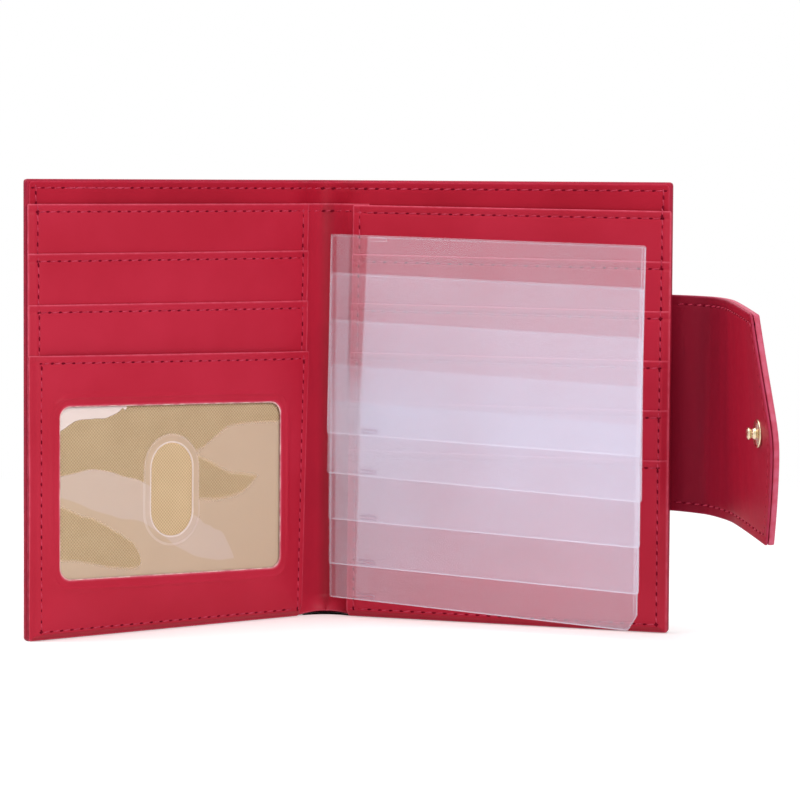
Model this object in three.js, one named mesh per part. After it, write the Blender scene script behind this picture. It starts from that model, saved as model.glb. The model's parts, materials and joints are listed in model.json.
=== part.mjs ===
// Card wallet: two stiffened leather wings on a bowed spine, a snap tab, and a cascade of clear sleeves.
// Millimetres, +Z up. It stands open on its bottom edges, with its inside towards -Y.
// The origin is at the foot of the spine cover, in the middle of its width and thickness.
import * as THREE from 'three';

// Wings and spine
const WALLET_HEIGHT = 130;
const WING_REACH = 98.4;
const SPINE_WIDTH = 16.4;
const SPINE_BOW = 7.5;
const SPINE_FLARE = 1.15;
const COVER_CORNER = 2.5;
const PANEL_CORNER = 1.5;

// Angles at rest, in degrees
const FRONT_OPEN = 40.2;
const BACK_OPEN = 21.5;
const INSERT_SWING = 8.5;
const INSERT_DROOP = 1.6;
const TAB_ROOT_BEND = 34.5;
const TAB_END_BEND = 25.5;
const TAB_SAG = 7;

// Thickness of each layer and the clearances between layers
const COVER_T = 1.2;
const BOARD_T = 0.5;
const LINING_T = 0.3;
const PANEL_T = 0.6;
const STRIP_T = 0.45;
const WINDOW_LINING_T = 0.25;
const FILM_T = 0.2;
const LAYER_GAP = 0.2;
const BILL_GAP = 0.3;
const TURNED_EDGE = 0.3;
const PANEL_EDGE = 0.14;

// Clearances at the folds, and how far each layer stays inside the cover's edges
const SPINE_FOLD_GAP = 0.4;
const COVER_FOLD_GAP = 1.1;
const PANEL_FOLD_GAP = 0.3;
const LINING_INSET = 0.6;
const BOARD_INSET = 2.5;
const PANEL_INSET = 0.9;

// Pockets: the bill pocket's edge is below the cover's, and the first card strip is below that
const BILL_DROP = 7;
const FRONT_STRIP_DROP = 13.9;
const FRONT_STRIP_PITCH = 14.6;
const FRONT_STRIPS = 2;
const BACK_STRIP_DROP = 15.3;
const BACK_STRIP_PITCH = 14.4;
const BACK_STRIPS = 5;
const POCKET_DEPTH = 46;

// Window: the leather left round it on each side, and its lean off level in degrees
const WINDOW_TOP_MARGIN = 14.45;
const WINDOW_FOOT_MARGIN = 15.15;
const WINDOW_FOLD_MARGIN = 10.4;
const WINDOW_EDGE_MARGIN = 7.7;
const WINDOW_CORNER = 3.6;
const WINDOW_LEAN = 1.07;
const FILM_MARGIN = 4.5;
const WINDOW_LINING_MARGIN = 6;
const THUMB_WIDTH = 14.6;
const THUMB_HEIGHT = 26.9;

// Clear insert: sleeve 1 is in front and highest, the last one is at the back and lowest.
// The sleeves spread over the height that one sleeve leaves free, each by its share of it.
// Each sleeve starts further from its hinge than the one behind it, so their inner edges nest.
const SLEEVE_HEIGHT = 59.4;
const SLEEVE_TOP_DROP = 15.85;
const SLEEVE_FOOT_RISE = 5.5;
const SLEEVE_SHARES = [0, 0.23, 0.51, 0.78, 1];
const SLEEVE_EDGE_INSET = 1.2;
const SLEEVE_NEST = 0.5;
const SLEEVE_SLOT = 0.2;
const SLEEVE_GAP = 0.25;
const SLEEVE_CORNER = 0.8;
const SLEEVE_MOUTH = 1.2;
const LAST_CUT_WIDTH = 2.3;
const LAST_CUT_HEIGHT = 4.2;
const HINGE_OVERHANG = 5.3;
const HINGE_GAP = 0.3;
const TONGUE_OVERHANG = 3.6;
const TONGUE_REACH = 7;
const TONGUE_TOP_INSET = 1.2;
const TONGUE_FOOT_INSET = 3.1;

// Closing tab
const TAB_HEIGHT = 62.3;
const TAB_RISE = 1.55;
const TAB_SEAM = 18;
const TAB_EDGE_GAP = 1.2;
const TAB_FOLD_GAP = 0.4;
const TAB_SEAT_GAP = 0.25;
const TAB_LINING_T = 0.6;
const TAB_OUTER_T = 1.2;
const TAB_END_REACH = 37;
const TAB_CROWN = 14;
const TAB_TIP_RADIUS = 6;

// Snap
const SNAP_REACH = 37.5;
const SNAP_GAP = 0.2;
const SNAP_PLAY = 0.3;
const STUD_FLANGE_R = 3.9;
const STUD_FLANGE_T = 0.6;
const STUD_FLANGE_EDGE = 0.4;
const STUD_POST_LENGTH = 2.6;
const STUD_HEAD_R = 1.7;
const STUD_HEAD_LENGTH = 0.9;
const STUD_HEAD_ROUND = 0.45;
const STUD_WAIST_R = 1.3;
const STUD_BORE_DEPTH = 0.8;
const SOCKET_R = 5.2;
const SOCKET_RIM_R = 3.6;
const SOCKET_HEIGHT = 2.9;
const SOCKET_CROWN = 0.8;
const SOCKET_FLOOR = 0.6;
const SOCKET_SPRING_R = 2.5;
const RIVET_SHANK_R = 1;
const RIVET_CLEARANCE = 0.2;
const RIVET_HEAD_R = 3.5;
const RIVET_HEAD_T = 0.3;

// Facets
const CORNER_SEGMENTS = 4;
const BOW_SEGMENTS = 12;
const ROUND_SEGMENTS = 28;

// Finishes: colour as hex, roughness and metalness
const LEATHER = { color: 0xb82b3e, roughness: 0.5, metalness: 0 };
const LEATHER_LINING = { color: 0xa6243a, roughness: 0.6, metalness: 0 };
const BOARD = { color: 0x8c7b66, roughness: 0.9, metalness: 0 };
const KHAKI = { color: 0xbea385, roughness: 0.85, metalness: 0 };
const FILM = { color: 0xd6c8d9, roughness: 0.2, metalness: 0, transparent: true, opacity: 0.35 };
const GOLD = { color: 0xd8c08a, roughness: 0.25, metalness: 1 };

// Depths are counted from the cover's inner face towards the reader
const BOARD_BACK = LAYER_GAP;
const LINING_BACK = BOARD_BACK + BOARD_T + LAYER_GAP;
const BILL_BACK = LINING_BACK + LINING_T + BILL_GAP;
const STRIP_BACK = BILL_BACK + PANEL_T + LAYER_GAP;
const STRIP_STEP = STRIP_T + LAYER_GAP;
const WINDOW_LINING_BACK = STRIP_BACK + FRONT_STRIPS * STRIP_STEP;
const WINDOW_FILM_BACK = WINDOW_LINING_BACK + WINDOW_LINING_T + LAYER_GAP;
const WINDOW_PANEL_BACK = WINDOW_FILM_BACK + FILM_T + LAYER_GAP;
const TONGUE_BACK = STRIP_BACK + BACK_STRIPS * STRIP_STEP;
const SLEEVE_T = 2 * FILM_T + SLEEVE_SLOT;
const SLEEVE_STEP = SLEEVE_T + SLEEVE_GAP;
const HINGE_DEPTH = TONGUE_BACK + FILM_T + SLEEVE_GAP + SLEEVE_T / 2;

// Edges of the pockets, panels and sleeves
const BILL_TOP = WALLET_HEIGHT - BILL_DROP;
const LINING_TOP = WALLET_HEIGHT - LINING_INSET;
const PANEL_REACH = WING_REACH - PANEL_INSET;
const FRONT_STRIP_TOP = BILL_TOP - FRONT_STRIP_DROP;
const BACK_STRIP_TOP = BILL_TOP - BACK_STRIP_DROP;
const WINDOW_PANEL_TOP = FRONT_STRIP_TOP - FRONT_STRIPS * FRONT_STRIP_PITCH;
const SLEEVE_WIDTH = WING_REACH + HINGE_OVERHANG - HINGE_GAP - SLEEVE_EDGE_INSET;
const SLEEVE_TOP = WALLET_HEIGHT - SLEEVE_TOP_DROP;
const SLEEVE_SPREAD = SLEEVE_TOP - SLEEVE_FOOT_RISE - SLEEVE_HEIGHT;

// The tab's inner face seats on the back cover, and stands off the front cover by the closed snap
const TAB_LAYER_GAP = RIVET_HEAD_T + 2 * SNAP_GAP;
const TAB_T = TAB_LINING_T + TAB_LAYER_GAP + TAB_OUTER_T;
const TAB_SEAT = COVER_T + TAB_SEAT_GAP;
const SOCKET_SEAT = COVER_T + SNAP_GAP;
const SNAP_STANDOFF = SOCKET_SEAT + SOCKET_HEIGHT + SNAP_PLAY + STUD_FLANGE_T + SNAP_GAP;
const TAB_BRIDGE_LENGTH = TAB_SEAT + SPINE_WIDTH + SNAP_STANDOFF;
const TAB_BEND_REACH = WING_REACH + TAB_EDGE_GAP;
const TAB_Z = WALLET_HEIGHT / 2 + TAB_RISE;
const TAB_FOOT = TAB_Z - TAB_HEIGHT / 2;
const TAB_TOP = TAB_Z + TAB_HEIGHT / 2;
const SAG_SLOPE = Math.tan(THREE.MathUtils.degToRad(TAB_SAG));
const DROOP_SLOPE = Math.tan(THREE.MathUtils.degToRad(INSERT_DROOP));
const SNAP_Z = TAB_Z - SNAP_REACH * SAG_SLOPE;
const SHANK_HOLE_R = RIVET_SHANK_R + RIVET_CLEARANCE;
const HEAD_HOLE_R = RIVET_HEAD_R + RIVET_CLEARANCE;

const FRONT = -1;
const BACK = 1;

function mesh(name, geometry, look) {
  const piece = new THREE.Mesh(geometry, new THREE.MeshStandardMaterial(look));
  piece.name = name;
  return piece;
}

// A rectangle with round corners, in X and Z.
function roundedRectangle(xLow, xHigh, zLow, zHigh, radius) {
  const outline = new THREE.Shape();
  outline.absarc(xHigh - radius, zLow + radius, radius, -Math.PI / 2, 0);
  outline.absarc(xHigh - radius, zHigh - radius, radius, 0, Math.PI / 2);
  outline.absarc(xLow + radius, zHigh - radius, radius, Math.PI / 2, Math.PI);
  outline.absarc(xLow + radius, zLow + radius, radius, Math.PI, 1.5 * Math.PI);
  outline.closePath();
  return outline;
}

// The same on a wing, between two reaches from its fold.
function wingRectangle(side, reachLow, reachHigh, zLow, zHigh, radius) {
  const [xLow, xHigh] = [side * reachLow, side * reachHigh].sort((a, b) => a - b);
  return roundedRectangle(xLow, xHigh, zLow, zHigh, radius);
}

function circleHole(x, z, radius) {
  const circle = new THREE.EllipseCurve(x, z, radius, radius);
  return new THREE.Path(circle.getPoints(ROUND_SEGMENTS).slice(1));
}

// A sheet with the given outline in X and Z. Its outer face is at y, and it grows towards the reader.
function sheet(outline, y, thickness, edge = 0) {
  const geometry = new THREE.ExtrudeGeometry(outline, {
    depth: thickness - 2 * edge,
    bevelEnabled: edge > 0,
    bevelThickness: edge,
    bevelSize: edge,
    bevelOffset: -edge,
    bevelSegments: 1,
    curveSegments: CORNER_SEGMENTS,
  });
  geometry.translate(0, 0, edge);
  geometry.rotateX(Math.PI / 2);
  geometry.translate(0, y, 0);
  return geometry;
}

// A solid of revolution about Y, from a profile of radius and height.
function revolved(profile) {
  const points = profile.map(([radius, y]) => new THREE.Vector2(radius, y));
  return new THREE.LatheGeometry(points, ROUND_SEGMENTS);
}

// One layer of the spine: a band between two parabolas, from a foot height to a top.
// The depth is that of its reader-side face from the cover's inner face.
function bowedBand(depth, thickness, foot, top) {
  const innerHalf = SPINE_WIDTH / 2 - SPINE_FOLD_GAP - depth * SPINE_FLARE;
  const outerHalf = innerHalf + thickness * SPINE_FLARE;
  const innerBow = SPINE_BOW - depth;
  const outerBow = innerBow + thickness;
  const section = new THREE.Shape();
  section.moveTo(-outerHalf, 0);
  section.quadraticCurveTo(0, 2 * outerBow, outerHalf, 0);
  section.lineTo(innerHalf, 0);
  section.quadraticCurveTo(0, 2 * innerBow, -innerHalf, 0);
  const settings = { depth: top - foot, bevelEnabled: false, curveSegments: BOW_SEGMENTS };
  const geometry = new THREE.ExtrudeGeometry(section, settings);
  geometry.translate(0, 0, foot);
  return geometry;
}

function buildSpine() {
  const spine = new THREE.Group();
  const liningFront = LAYER_GAP + LINING_T;
  const panelFront = liningFront + BILL_GAP + PANEL_T;
  const cover = bowedBand(0, COVER_T, 0, WALLET_HEIGHT);
  const lining = bowedBand(liningFront, LINING_T, LINING_INSET, LINING_TOP);
  const panel = bowedBand(panelFront, PANEL_T, PANEL_INSET, BILL_TOP);
  spine.add(mesh('spine_cover', cover, LEATHER));
  spine.add(mesh('spine_lining', lining, LEATHER_LINING));
  spine.add(mesh('spine_panel', panel, LEATHER));
  return spine;
}

// The layers that both wings share: cover, stiffener, facing and the front wall of the bill pocket.
function buildShell(side, prefix, coverHoles, boardHoles) {
  const shell = new THREE.Group();
  const cover = wingRectangle(side, COVER_FOLD_GAP, WING_REACH, 0, WALLET_HEIGHT, COVER_CORNER);
  cover.holes.push(...coverHoles);
  const boardReach = WING_REACH - BOARD_INSET;
  const boardTop = WALLET_HEIGHT - BOARD_INSET;
  const board = wingRectangle(side, BOARD_INSET, boardReach, BOARD_INSET, boardTop, PANEL_CORNER);
  board.holes.push(...boardHoles);
  const liningReach = WING_REACH - LINING_INSET;
  const lining = wingRectangle(side, PANEL_FOLD_GAP, liningReach, LINING_INSET, LINING_TOP, PANEL_CORNER);
  const bill = wingRectangle(side, PANEL_FOLD_GAP, PANEL_REACH, PANEL_INSET, BILL_TOP, PANEL_CORNER);
  shell.add(mesh(`${prefix}_cover`, sheet(cover, COVER_T, COVER_T, TURNED_EDGE), LEATHER));
  shell.add(mesh(`${prefix}_board`, sheet(board, -BOARD_BACK, BOARD_T), BOARD));
  shell.add(mesh(`${prefix}_lining`, sheet(lining, -LINING_BACK, LINING_T), LEATHER_LINING));
  shell.add(mesh(`${prefix}_bill_panel`, sheet(bill, -BILL_BACK, PANEL_T, PANEL_EDGE), LEATHER));
  return shell;
}

// The front of a card pocket: each strip lies on the one above it, and none goes below the panels' foot.
function buildStrip(side, name, index, top, depth) {
  const foot = Math.max(PANEL_INSET, top - depth);
  const outline = wingRectangle(side, PANEL_FOLD_GAP, PANEL_REACH, foot, top, PANEL_CORNER);
  return mesh(name, sheet(outline, -STRIP_BACK - index * STRIP_STEP, STRIP_T, PANEL_EDGE), LEATHER);
}

// The window panel, and behind it the film with its thumb hole and the woven lining.
function buildWindow() {
  const group = new THREE.Group();
  const width = PANEL_REACH - PANEL_FOLD_GAP - WINDOW_FOLD_MARGIN - WINDOW_EDGE_MARGIN;
  const height = WINDOW_PANEL_TOP - PANEL_INSET - WINDOW_TOP_MARGIN - WINDOW_FOOT_MARGIN;
  const x = FRONT * (PANEL_FOLD_GAP + WINDOW_FOLD_MARGIN + width / 2);
  const z = PANEL_INSET + WINDOW_FOOT_MARGIN + height / 2;
  const centre = new THREE.Vector2(x, z);
  const lean = -THREE.MathUtils.degToRad(WINDOW_LEAN);
  const leaning = (wide, high, radius) => {
    const level = roundedRectangle(x - wide / 2, x + wide / 2, z - high / 2, z + high / 2, radius);
    const points = level.getPoints(CORNER_SEGMENTS);
    return new THREE.Shape(points.map((point) => point.rotateAround(centre, lean)));
  };
  const around = (margin) => leaning(width + 2 * margin, height + 2 * margin, WINDOW_CORNER);
  const panel = wingRectangle(
    FRONT, PANEL_FOLD_GAP, PANEL_REACH, PANEL_INSET, WINDOW_PANEL_TOP, PANEL_CORNER);
  panel.holes.push(around(0));
  const film = around(FILM_MARGIN);
  film.holes.push(leaning(THUMB_WIDTH, THUMB_HEIGHT, THUMB_WIDTH / 2));
  const lining = around(WINDOW_LINING_MARGIN);
  group.add(mesh('window_panel', sheet(panel, -WINDOW_PANEL_BACK, PANEL_T, PANEL_EDGE), LEATHER));
  group.add(mesh('window_film', sheet(film, -WINDOW_FILM_BACK, FILM_T), FILM));
  group.add(mesh('window_lining', sheet(lining, -WINDOW_LINING_BACK, WINDOW_LINING_T), KHAKI));
  return group;
}

// The female half of the snap, with its rivet through the cover. Y points out of the cover.
function buildSocket() {
  const socket = new THREE.Group();
  const top = SOCKET_SEAT + SOCKET_HEIGHT;
  const floor = SOCKET_SEAT + SOCKET_FLOOR;
  const bore = STUD_HEAD_R + SNAP_PLAY;
  const body = revolved([
    [SHANK_HOLE_R, SOCKET_SEAT],
    [SOCKET_R, SOCKET_SEAT],
    [SOCKET_R, top - SOCKET_CROWN],
    [SOCKET_RIM_R, top],
    [bore + SNAP_PLAY, top],
    [bore, top - SNAP_PLAY],
    [bore, top - SOCKET_CROWN],
    [SOCKET_SPRING_R, top - 2 * SOCKET_CROWN],
    [SOCKET_SPRING_R, floor],
    [SHANK_HOLE_R, floor],
    [SHANK_HOLE_R, SOCKET_SEAT],
  ]);
  const headBack = -BOARD_BACK;
  const headFront = headBack - RIVET_HEAD_T;
  const shankTop = floor - RIVET_CLEARANCE;
  const rivet = revolved([
    [0, headFront],
    [RIVET_HEAD_R, headFront],
    [RIVET_HEAD_R, headBack],
    [RIVET_SHANK_R, headBack],
    [RIVET_SHANK_R, shankTop],
    [0, shankTop],
  ]);
  socket.add(mesh('snap_socket', body, GOLD));
  socket.add(mesh('socket_rivet', rivet, GOLD));
  return socket;
}

function buildFrontWing() {
  const wing = new THREE.Group();
  const snapX = FRONT * (TAB_BEND_REACH - SNAP_REACH);
  const shankHole = circleHole(snapX, SNAP_Z, SHANK_HOLE_R);
  const headHole = circleHole(snapX, SNAP_Z, HEAD_HOLE_R);
  wing.add(buildShell(FRONT, 'front', [shankHole], [headHole]));
  for (let index = 0; index < FRONT_STRIPS; index += 1) {
    const top = FRONT_STRIP_TOP - index * FRONT_STRIP_PITCH;
    wing.add(buildStrip(FRONT, `front_card_strip_${index + 1}`, index, top, POCKET_DEPTH));
  }
  wing.add(buildWindow());
  const socket = buildSocket();
  socket.position.set(snapX, 0, SNAP_Z);
  wing.add(socket);
  return wing;
}

// One film of a sleeve, drooping towards its outer edge. The last sleeve has a cut lower corner.
function sleeveOutline(start, foot, top, isLast) {
  const cutWidth = isLast ? LAST_CUT_WIDTH : SLEEVE_CORNER;
  const cutHeight = isLast ? LAST_CUT_HEIGHT : SLEEVE_CORNER;
  const end = start + SLEEVE_WIDTH;
  const drooped = (x, z) => [x, z - x * DROOP_SLOPE];
  const outline = new THREE.Shape();
  outline.moveTo(...drooped(start, foot));
  outline.lineTo(...drooped(end - cutWidth, foot));
  outline.lineTo(...drooped(end, foot + cutHeight));
  outline.lineTo(...drooped(end, top - SLEEVE_CORNER));
  outline.quadraticCurveTo(...drooped(end, top), ...drooped(end - SLEEVE_CORNER, top));
  outline.lineTo(...drooped(start, top));
  outline.closePath();
  return outline;
}

// One clear sleeve about its hinge: a back film, and a front film with a lower mouth.
function buildSleeve(index) {
  const sleeve = new THREE.Group();
  const number = index + 1;
  const isLast = number === SLEEVE_SHARES.length;
  const start = HINGE_GAP + (SLEEVE_SHARES.length - number) * SLEEVE_NEST;
  const top = SLEEVE_TOP - SLEEVE_SHARES[index] * SLEEVE_SPREAD;
  const foot = top - SLEEVE_HEIGHT;
  const half = SLEEVE_SLOT / 2;
  const back = sheet(sleeveOutline(start, foot, top, isLast), half + FILM_T, FILM_T);
  const front = sheet(sleeveOutline(start, foot, top - SLEEVE_MOUTH, isLast), -half, FILM_T);
  sleeve.add(mesh(`sleeve_${number}_back`, back, FILM));
  sleeve.add(mesh(`sleeve_${number}_front`, front, FILM));
  return sleeve;
}

// The sleeves hinge one on the next, from the back one forwards: a turned sleeve takes those in front along.
function buildInsert() {
  const insert = new THREE.Group();
  let carrier = insert;
  for (let index = SLEEVE_SHARES.length - 1; index >= 0; index -= 1) {
    const hinge = new THREE.Group();
    hinge.name = `sleeve_${index + 1}_turn`;
    hinge.position.y = carrier === insert ? 0 : -SLEEVE_STEP;
    hinge.add(buildSleeve(index));
    carrier.add(hinge);
    carrier = hinge;
  }
  return insert;
}

// A straight stretch of the tab, between two reaches.
function tabStretch(reachLow, reachHigh) {
  const outline = new THREE.Shape();
  outline.moveTo(reachLow, TAB_FOOT);
  outline.lineTo(reachHigh, TAB_FOOT);
  outline.lineTo(reachHigh, TAB_TOP);
  outline.lineTo(reachLow, TAB_TOP);
  outline.closePath();
  return outline;
}

// The end of the tab: it sags, and comes to a round point in the middle.
function tabEnd() {
  const sagged = (reach, z) => [reach, z - reach * SAG_SLOPE];
  const tip = TAB_END_REACH + TAB_CROWN;
  const shoulder = tip - TAB_TIP_RADIUS * TAB_CROWN / (TAB_HEIGHT / 2);
  const outline = new THREE.Shape();
  outline.moveTo(...sagged(TAB_FOLD_GAP, TAB_FOOT));
  outline.lineTo(...sagged(TAB_END_REACH, TAB_FOOT));
  outline.lineTo(...sagged(shoulder, TAB_Z - TAB_TIP_RADIUS));
  outline.quadraticCurveTo(...sagged(tip, TAB_Z), ...sagged(shoulder, TAB_Z + TAB_TIP_RADIUS));
  outline.lineTo(...sagged(TAB_END_REACH, TAB_TOP));
  outline.lineTo(...sagged(TAB_FOLD_GAP, TAB_TOP));
  outline.closePath();
  return outline;
}

// The male half of the snap on the lining, with its rivet between the two layers of the tab.
function buildStud() {
  const stud = new THREE.Group();
  const seat = -SNAP_GAP;
  const flangeFront = seat - STUD_FLANGE_T;
  const tip = flangeFront - STUD_POST_LENGTH;
  const boreEnd = seat - STUD_BORE_DEPTH;
  const waist = (tip + STUD_HEAD_LENGTH + flangeFront) / 2;
  const body = revolved([
    [0, tip],
    [STUD_WAIST_R, tip],
    [STUD_HEAD_R, tip + STUD_HEAD_ROUND],
    [STUD_HEAD_R, tip + STUD_HEAD_LENGTH],
    [STUD_WAIST_R, waist],
    [STUD_HEAD_R, flangeFront],
    [STUD_FLANGE_R, seat - STUD_FLANGE_EDGE],
    [STUD_FLANGE_R, seat],
    [SHANK_HOLE_R, seat],
    [SHANK_HOLE_R, boreEnd],
    [0, boreEnd],
  ]);
  const headFront = TAB_LINING_T + SNAP_GAP;
  const headBack = headFront + RIVET_HEAD_T;
  const shankEnd = boreEnd + RIVET_CLEARANCE;
  const rivet = revolved([
    [0, shankEnd],
    [RIVET_SHANK_R, shankEnd],
    [RIVET_SHANK_R, headFront],
    [RIVET_HEAD_R, headFront],
    [RIVET_HEAD_R, headBack],
    [0, headBack],
  ]);
  stud.add(mesh('snap_stud', body, GOLD));
  stud.add(mesh('stud_rivet', rivet, GOLD));
  return stud;
}

// The tab bends about its inner face, first round the back wing's edge and then onto the front cover.
function buildTab() {
  const rootBend = new THREE.Group();
  rootBend.name = 'tab_root_bend';
  const bridge = tabStretch(TAB_FOLD_GAP, TAB_BRIDGE_LENGTH - TAB_FOLD_GAP);
  rootBend.add(mesh('tab_bridge_lining', sheet(bridge, TAB_LINING_T, TAB_LINING_T), LEATHER_LINING));
  rootBend.add(mesh('tab_bridge_outer', sheet(bridge, TAB_T, TAB_OUTER_T), LEATHER));
  rootBend.rotation.z = -THREE.MathUtils.degToRad(TAB_ROOT_BEND);
  const endBend = new THREE.Group();
  endBend.name = 'tab_end_bend';
  const lining = tabEnd();
  lining.holes.push(circleHole(SNAP_REACH, SNAP_Z, SHANK_HOLE_R));
  endBend.add(mesh('tab_end_lining', sheet(lining, TAB_LINING_T, TAB_LINING_T), LEATHER_LINING));
  endBend.add(mesh('tab_end_outer', sheet(tabEnd(), TAB_T, TAB_OUTER_T), LEATHER));
  const stud = buildStud();
  stud.position.set(SNAP_REACH, 0, SNAP_Z);
  endBend.add(stud);
  endBend.rotation.z = -THREE.MathUtils.degToRad(TAB_END_BEND);
  endBend.position.x = TAB_BRIDGE_LENGTH;
  rootBend.add(endBend);
  return rootBend;
}

function buildBackWing() {
  const wing = new THREE.Group();
  wing.add(buildShell(BACK, 'back', [], []));
  for (let index = 0; index < BACK_STRIPS; index += 1) {
    const top = BACK_STRIP_TOP - index * BACK_STRIP_PITCH;
    const depth = index === BACK_STRIPS - 1 ? top : POCKET_DEPTH;
    wing.add(buildStrip(BACK, `back_card_strip_${index + 1}`, index, top, depth));
  }
  const tongueFoot = SLEEVE_FOOT_RISE + TONGUE_FOOT_INSET;
  const tongueTop = SLEEVE_TOP - TONGUE_TOP_INSET;
  const tongue = roundedRectangle(-TONGUE_OVERHANG, TONGUE_REACH, tongueFoot, tongueTop, SLEEVE_CORNER);
  wing.add(mesh('insert_tongue', sheet(tongue, -TONGUE_BACK, FILM_T), FILM));
  const insert = buildInsert();
  insert.position.set(-HINGE_OVERHANG, -HINGE_DEPTH, 0);
  insert.rotation.z = -THREE.MathUtils.degToRad(INSERT_SWING);
  wing.add(insert);
  const root = tabStretch(WING_REACH - TAB_SEAM, TAB_BEND_REACH - TAB_FOLD_GAP);
  wing.add(mesh('tab_root', sheet(root, TAB_SEAT + TAB_T, TAB_T), LEATHER));
  const tab = buildTab();
  tab.position.set(TAB_BEND_REACH, TAB_SEAT, 0);
  wing.add(tab);
  return wing;
}

const wallet = new THREE.Group();
const foldY = -SPINE_BOW - COVER_T / 2;

const spine = buildSpine();
spine.position.y = foldY;
wallet.add(spine);

const frontWing = buildFrontWing();
frontWing.name = 'front_fold';
frontWing.position.set(FRONT * SPINE_WIDTH / 2, foldY, 0);
frontWing.rotation.z = THREE.MathUtils.degToRad(FRONT_OPEN);
wallet.add(frontWing);

const backWing = buildBackWing();
backWing.name = 'back_fold';
backWing.position.set(BACK * SPINE_WIDTH / 2, foldY, 0);
backWing.rotation.z = -THREE.MathUtils.degToRad(BACK_OPEN);
wallet.add(backWing);

export default wallet;
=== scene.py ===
"""Looks of a card wallet: crimson leather, a woven window lining, clear card sleeves and a gold snap.

Sizes here are millimetres and degrees, and the scene's are metres. The wallet stands open on its bottom
edges with its inside towards -Y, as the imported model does. A place on it is given by its reach from a
fold, its depth from the cover's inner face towards the reader, and its height.
"""

from __future__ import annotations

import json
import logging
import math
from abc import ABC, abstractmethod
from dataclasses import dataclass, field
from enum import Enum
from typing import Any, Callable, Iterable

import bmesh
import bpy
import numpy as np
from mathutils import Matrix, Vector


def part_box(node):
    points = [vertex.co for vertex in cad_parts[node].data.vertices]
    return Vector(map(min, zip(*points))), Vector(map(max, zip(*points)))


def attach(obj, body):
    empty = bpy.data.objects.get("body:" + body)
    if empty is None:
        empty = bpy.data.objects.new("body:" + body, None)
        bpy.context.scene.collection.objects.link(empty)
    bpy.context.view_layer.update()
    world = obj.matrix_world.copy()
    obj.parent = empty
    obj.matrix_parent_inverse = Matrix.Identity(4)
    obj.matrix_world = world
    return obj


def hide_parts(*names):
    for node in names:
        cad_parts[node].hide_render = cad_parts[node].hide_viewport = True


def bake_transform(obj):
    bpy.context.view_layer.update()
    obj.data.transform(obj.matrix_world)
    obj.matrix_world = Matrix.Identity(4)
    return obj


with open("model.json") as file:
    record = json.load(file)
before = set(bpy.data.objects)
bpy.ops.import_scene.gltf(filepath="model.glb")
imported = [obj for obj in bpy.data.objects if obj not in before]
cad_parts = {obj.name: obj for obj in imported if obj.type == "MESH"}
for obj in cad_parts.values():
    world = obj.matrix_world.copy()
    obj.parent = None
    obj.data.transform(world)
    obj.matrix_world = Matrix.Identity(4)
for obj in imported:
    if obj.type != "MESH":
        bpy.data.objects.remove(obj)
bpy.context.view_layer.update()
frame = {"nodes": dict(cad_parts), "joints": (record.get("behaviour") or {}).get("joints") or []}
LOG = logging.getLogger("wallet")

MM = 0.001
JOINTS = {joint["name"]: joint for joint in frame["joints"]}
FRONT_OPEN = -JOINTS["front_fold"]["range_deg"][0]
BACK_OPEN = -JOINTS["back_fold"]["range_deg"][0]
INSERT_SWING = JOINTS["sleeve_5_turn"]["range_deg"][1]
TAB_ROOT_BEND = 90 - JOINTS["tab_root_bend"]["range_deg"][1]
TAB_END_BEND = -JOINTS["tab_end_bend"]["range_deg"][0]
FOLD_X = JOINTS["back_fold"]["pos_m"][0] / MM
FOLD_Y = JOINTS["back_fold"]["pos_m"][1] / MM
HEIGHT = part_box("front_cover")[1].z / MM

Array = np.ndarray
Material = bpy.types.Material
Field = Callable[[Array, Array], Array]
Colour = tuple[float, float, float]
Pair = tuple[float, float]
Stops = tuple[Pair, ...]
Bar = tuple[float, float, float, float]


class Slot(Enum):
    """The record's material slots that the pieces made here take."""

    LEATHER = "leather"
    LINING = "leather_lining"
    KHAKI = "khaki"
    FILM = "film"
    GOLD = "gold"


class Side(Enum):
    """The two wings, by the sign of X that they reach towards."""

    FRONT = -1
    BACK = 1

    @property
    def label(self) -> str:
        """The word for the side in the names of nodes and pieces."""
        return self.name.lower()

    @property
    def wing(self) -> str:
        """The wing's body."""
        return f"{self.label}_wing"


# Sizes that several pieces share

WING_REACH = 98.4
PANEL_REACH = 98.55
PANEL_FOOT = 0.15
LINING_INSET = 0.6
BILL_TOP = 123.0
COVER_T = 1.2
LINING_BACK = 0.9
LINING_FRONT = 1.2
BILL_BACK = 1.5
BILL_FRONT = 2.1
STRIP_BACK = 2.3
STRIP_T = 0.45
STRIP_STEP = 0.65
TAB_BEND_REACH = 99.6
TAB_SEAT = 1.45
TAB_FOOT = 35.4
TAB_TOP = 97.7
TAB_BRIDGE = 23.25
SNAP_REACH = 37.5
SNAP_Z = 61.95
STITCH_DROP = 2.2
HEM_Z = HEIGHT - 2.5
SEAM_WIDTH = 0.5
LONG_STITCH = 3.4
SHORT_STITCH = 2.9
TAB_STITCH = 3.2

# How finely meshes are laid out

GRID = 3.0
SPINE_GRID = 0.6
FILM_GRID = 4.0
EDGE_FLAT = 0.3
EDGE_STEPS = (0.0, 0.06, 0.15, 0.3, 0.6, 1.1, 1.8)
SEAM_STEPS = (-1.0, -0.6, -0.3, 0.0, 0.3, 0.6, 1.0)
LEAST_STEP = 0.045
ON_AXIS = 1e-6
FLAT_SCALE = 0.01


# Numbers and lines

def smooth(low: float, high: float, value: Array) -> Array:
    """Eases from 0 at low to 1 at high."""
    share = np.clip((value - low) / (high - low), 0.0, 1.0)
    return share * share * (3 - 2 * share)


def hump(value: Array, width: float) -> Array:
    """A round hump of height 1 about 0."""
    return np.exp(-(value / width) ** 2)


def level(depth: float) -> Field:
    """A field with one depth all over."""
    return lambda reach, z: np.full_like(reach, depth)


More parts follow.
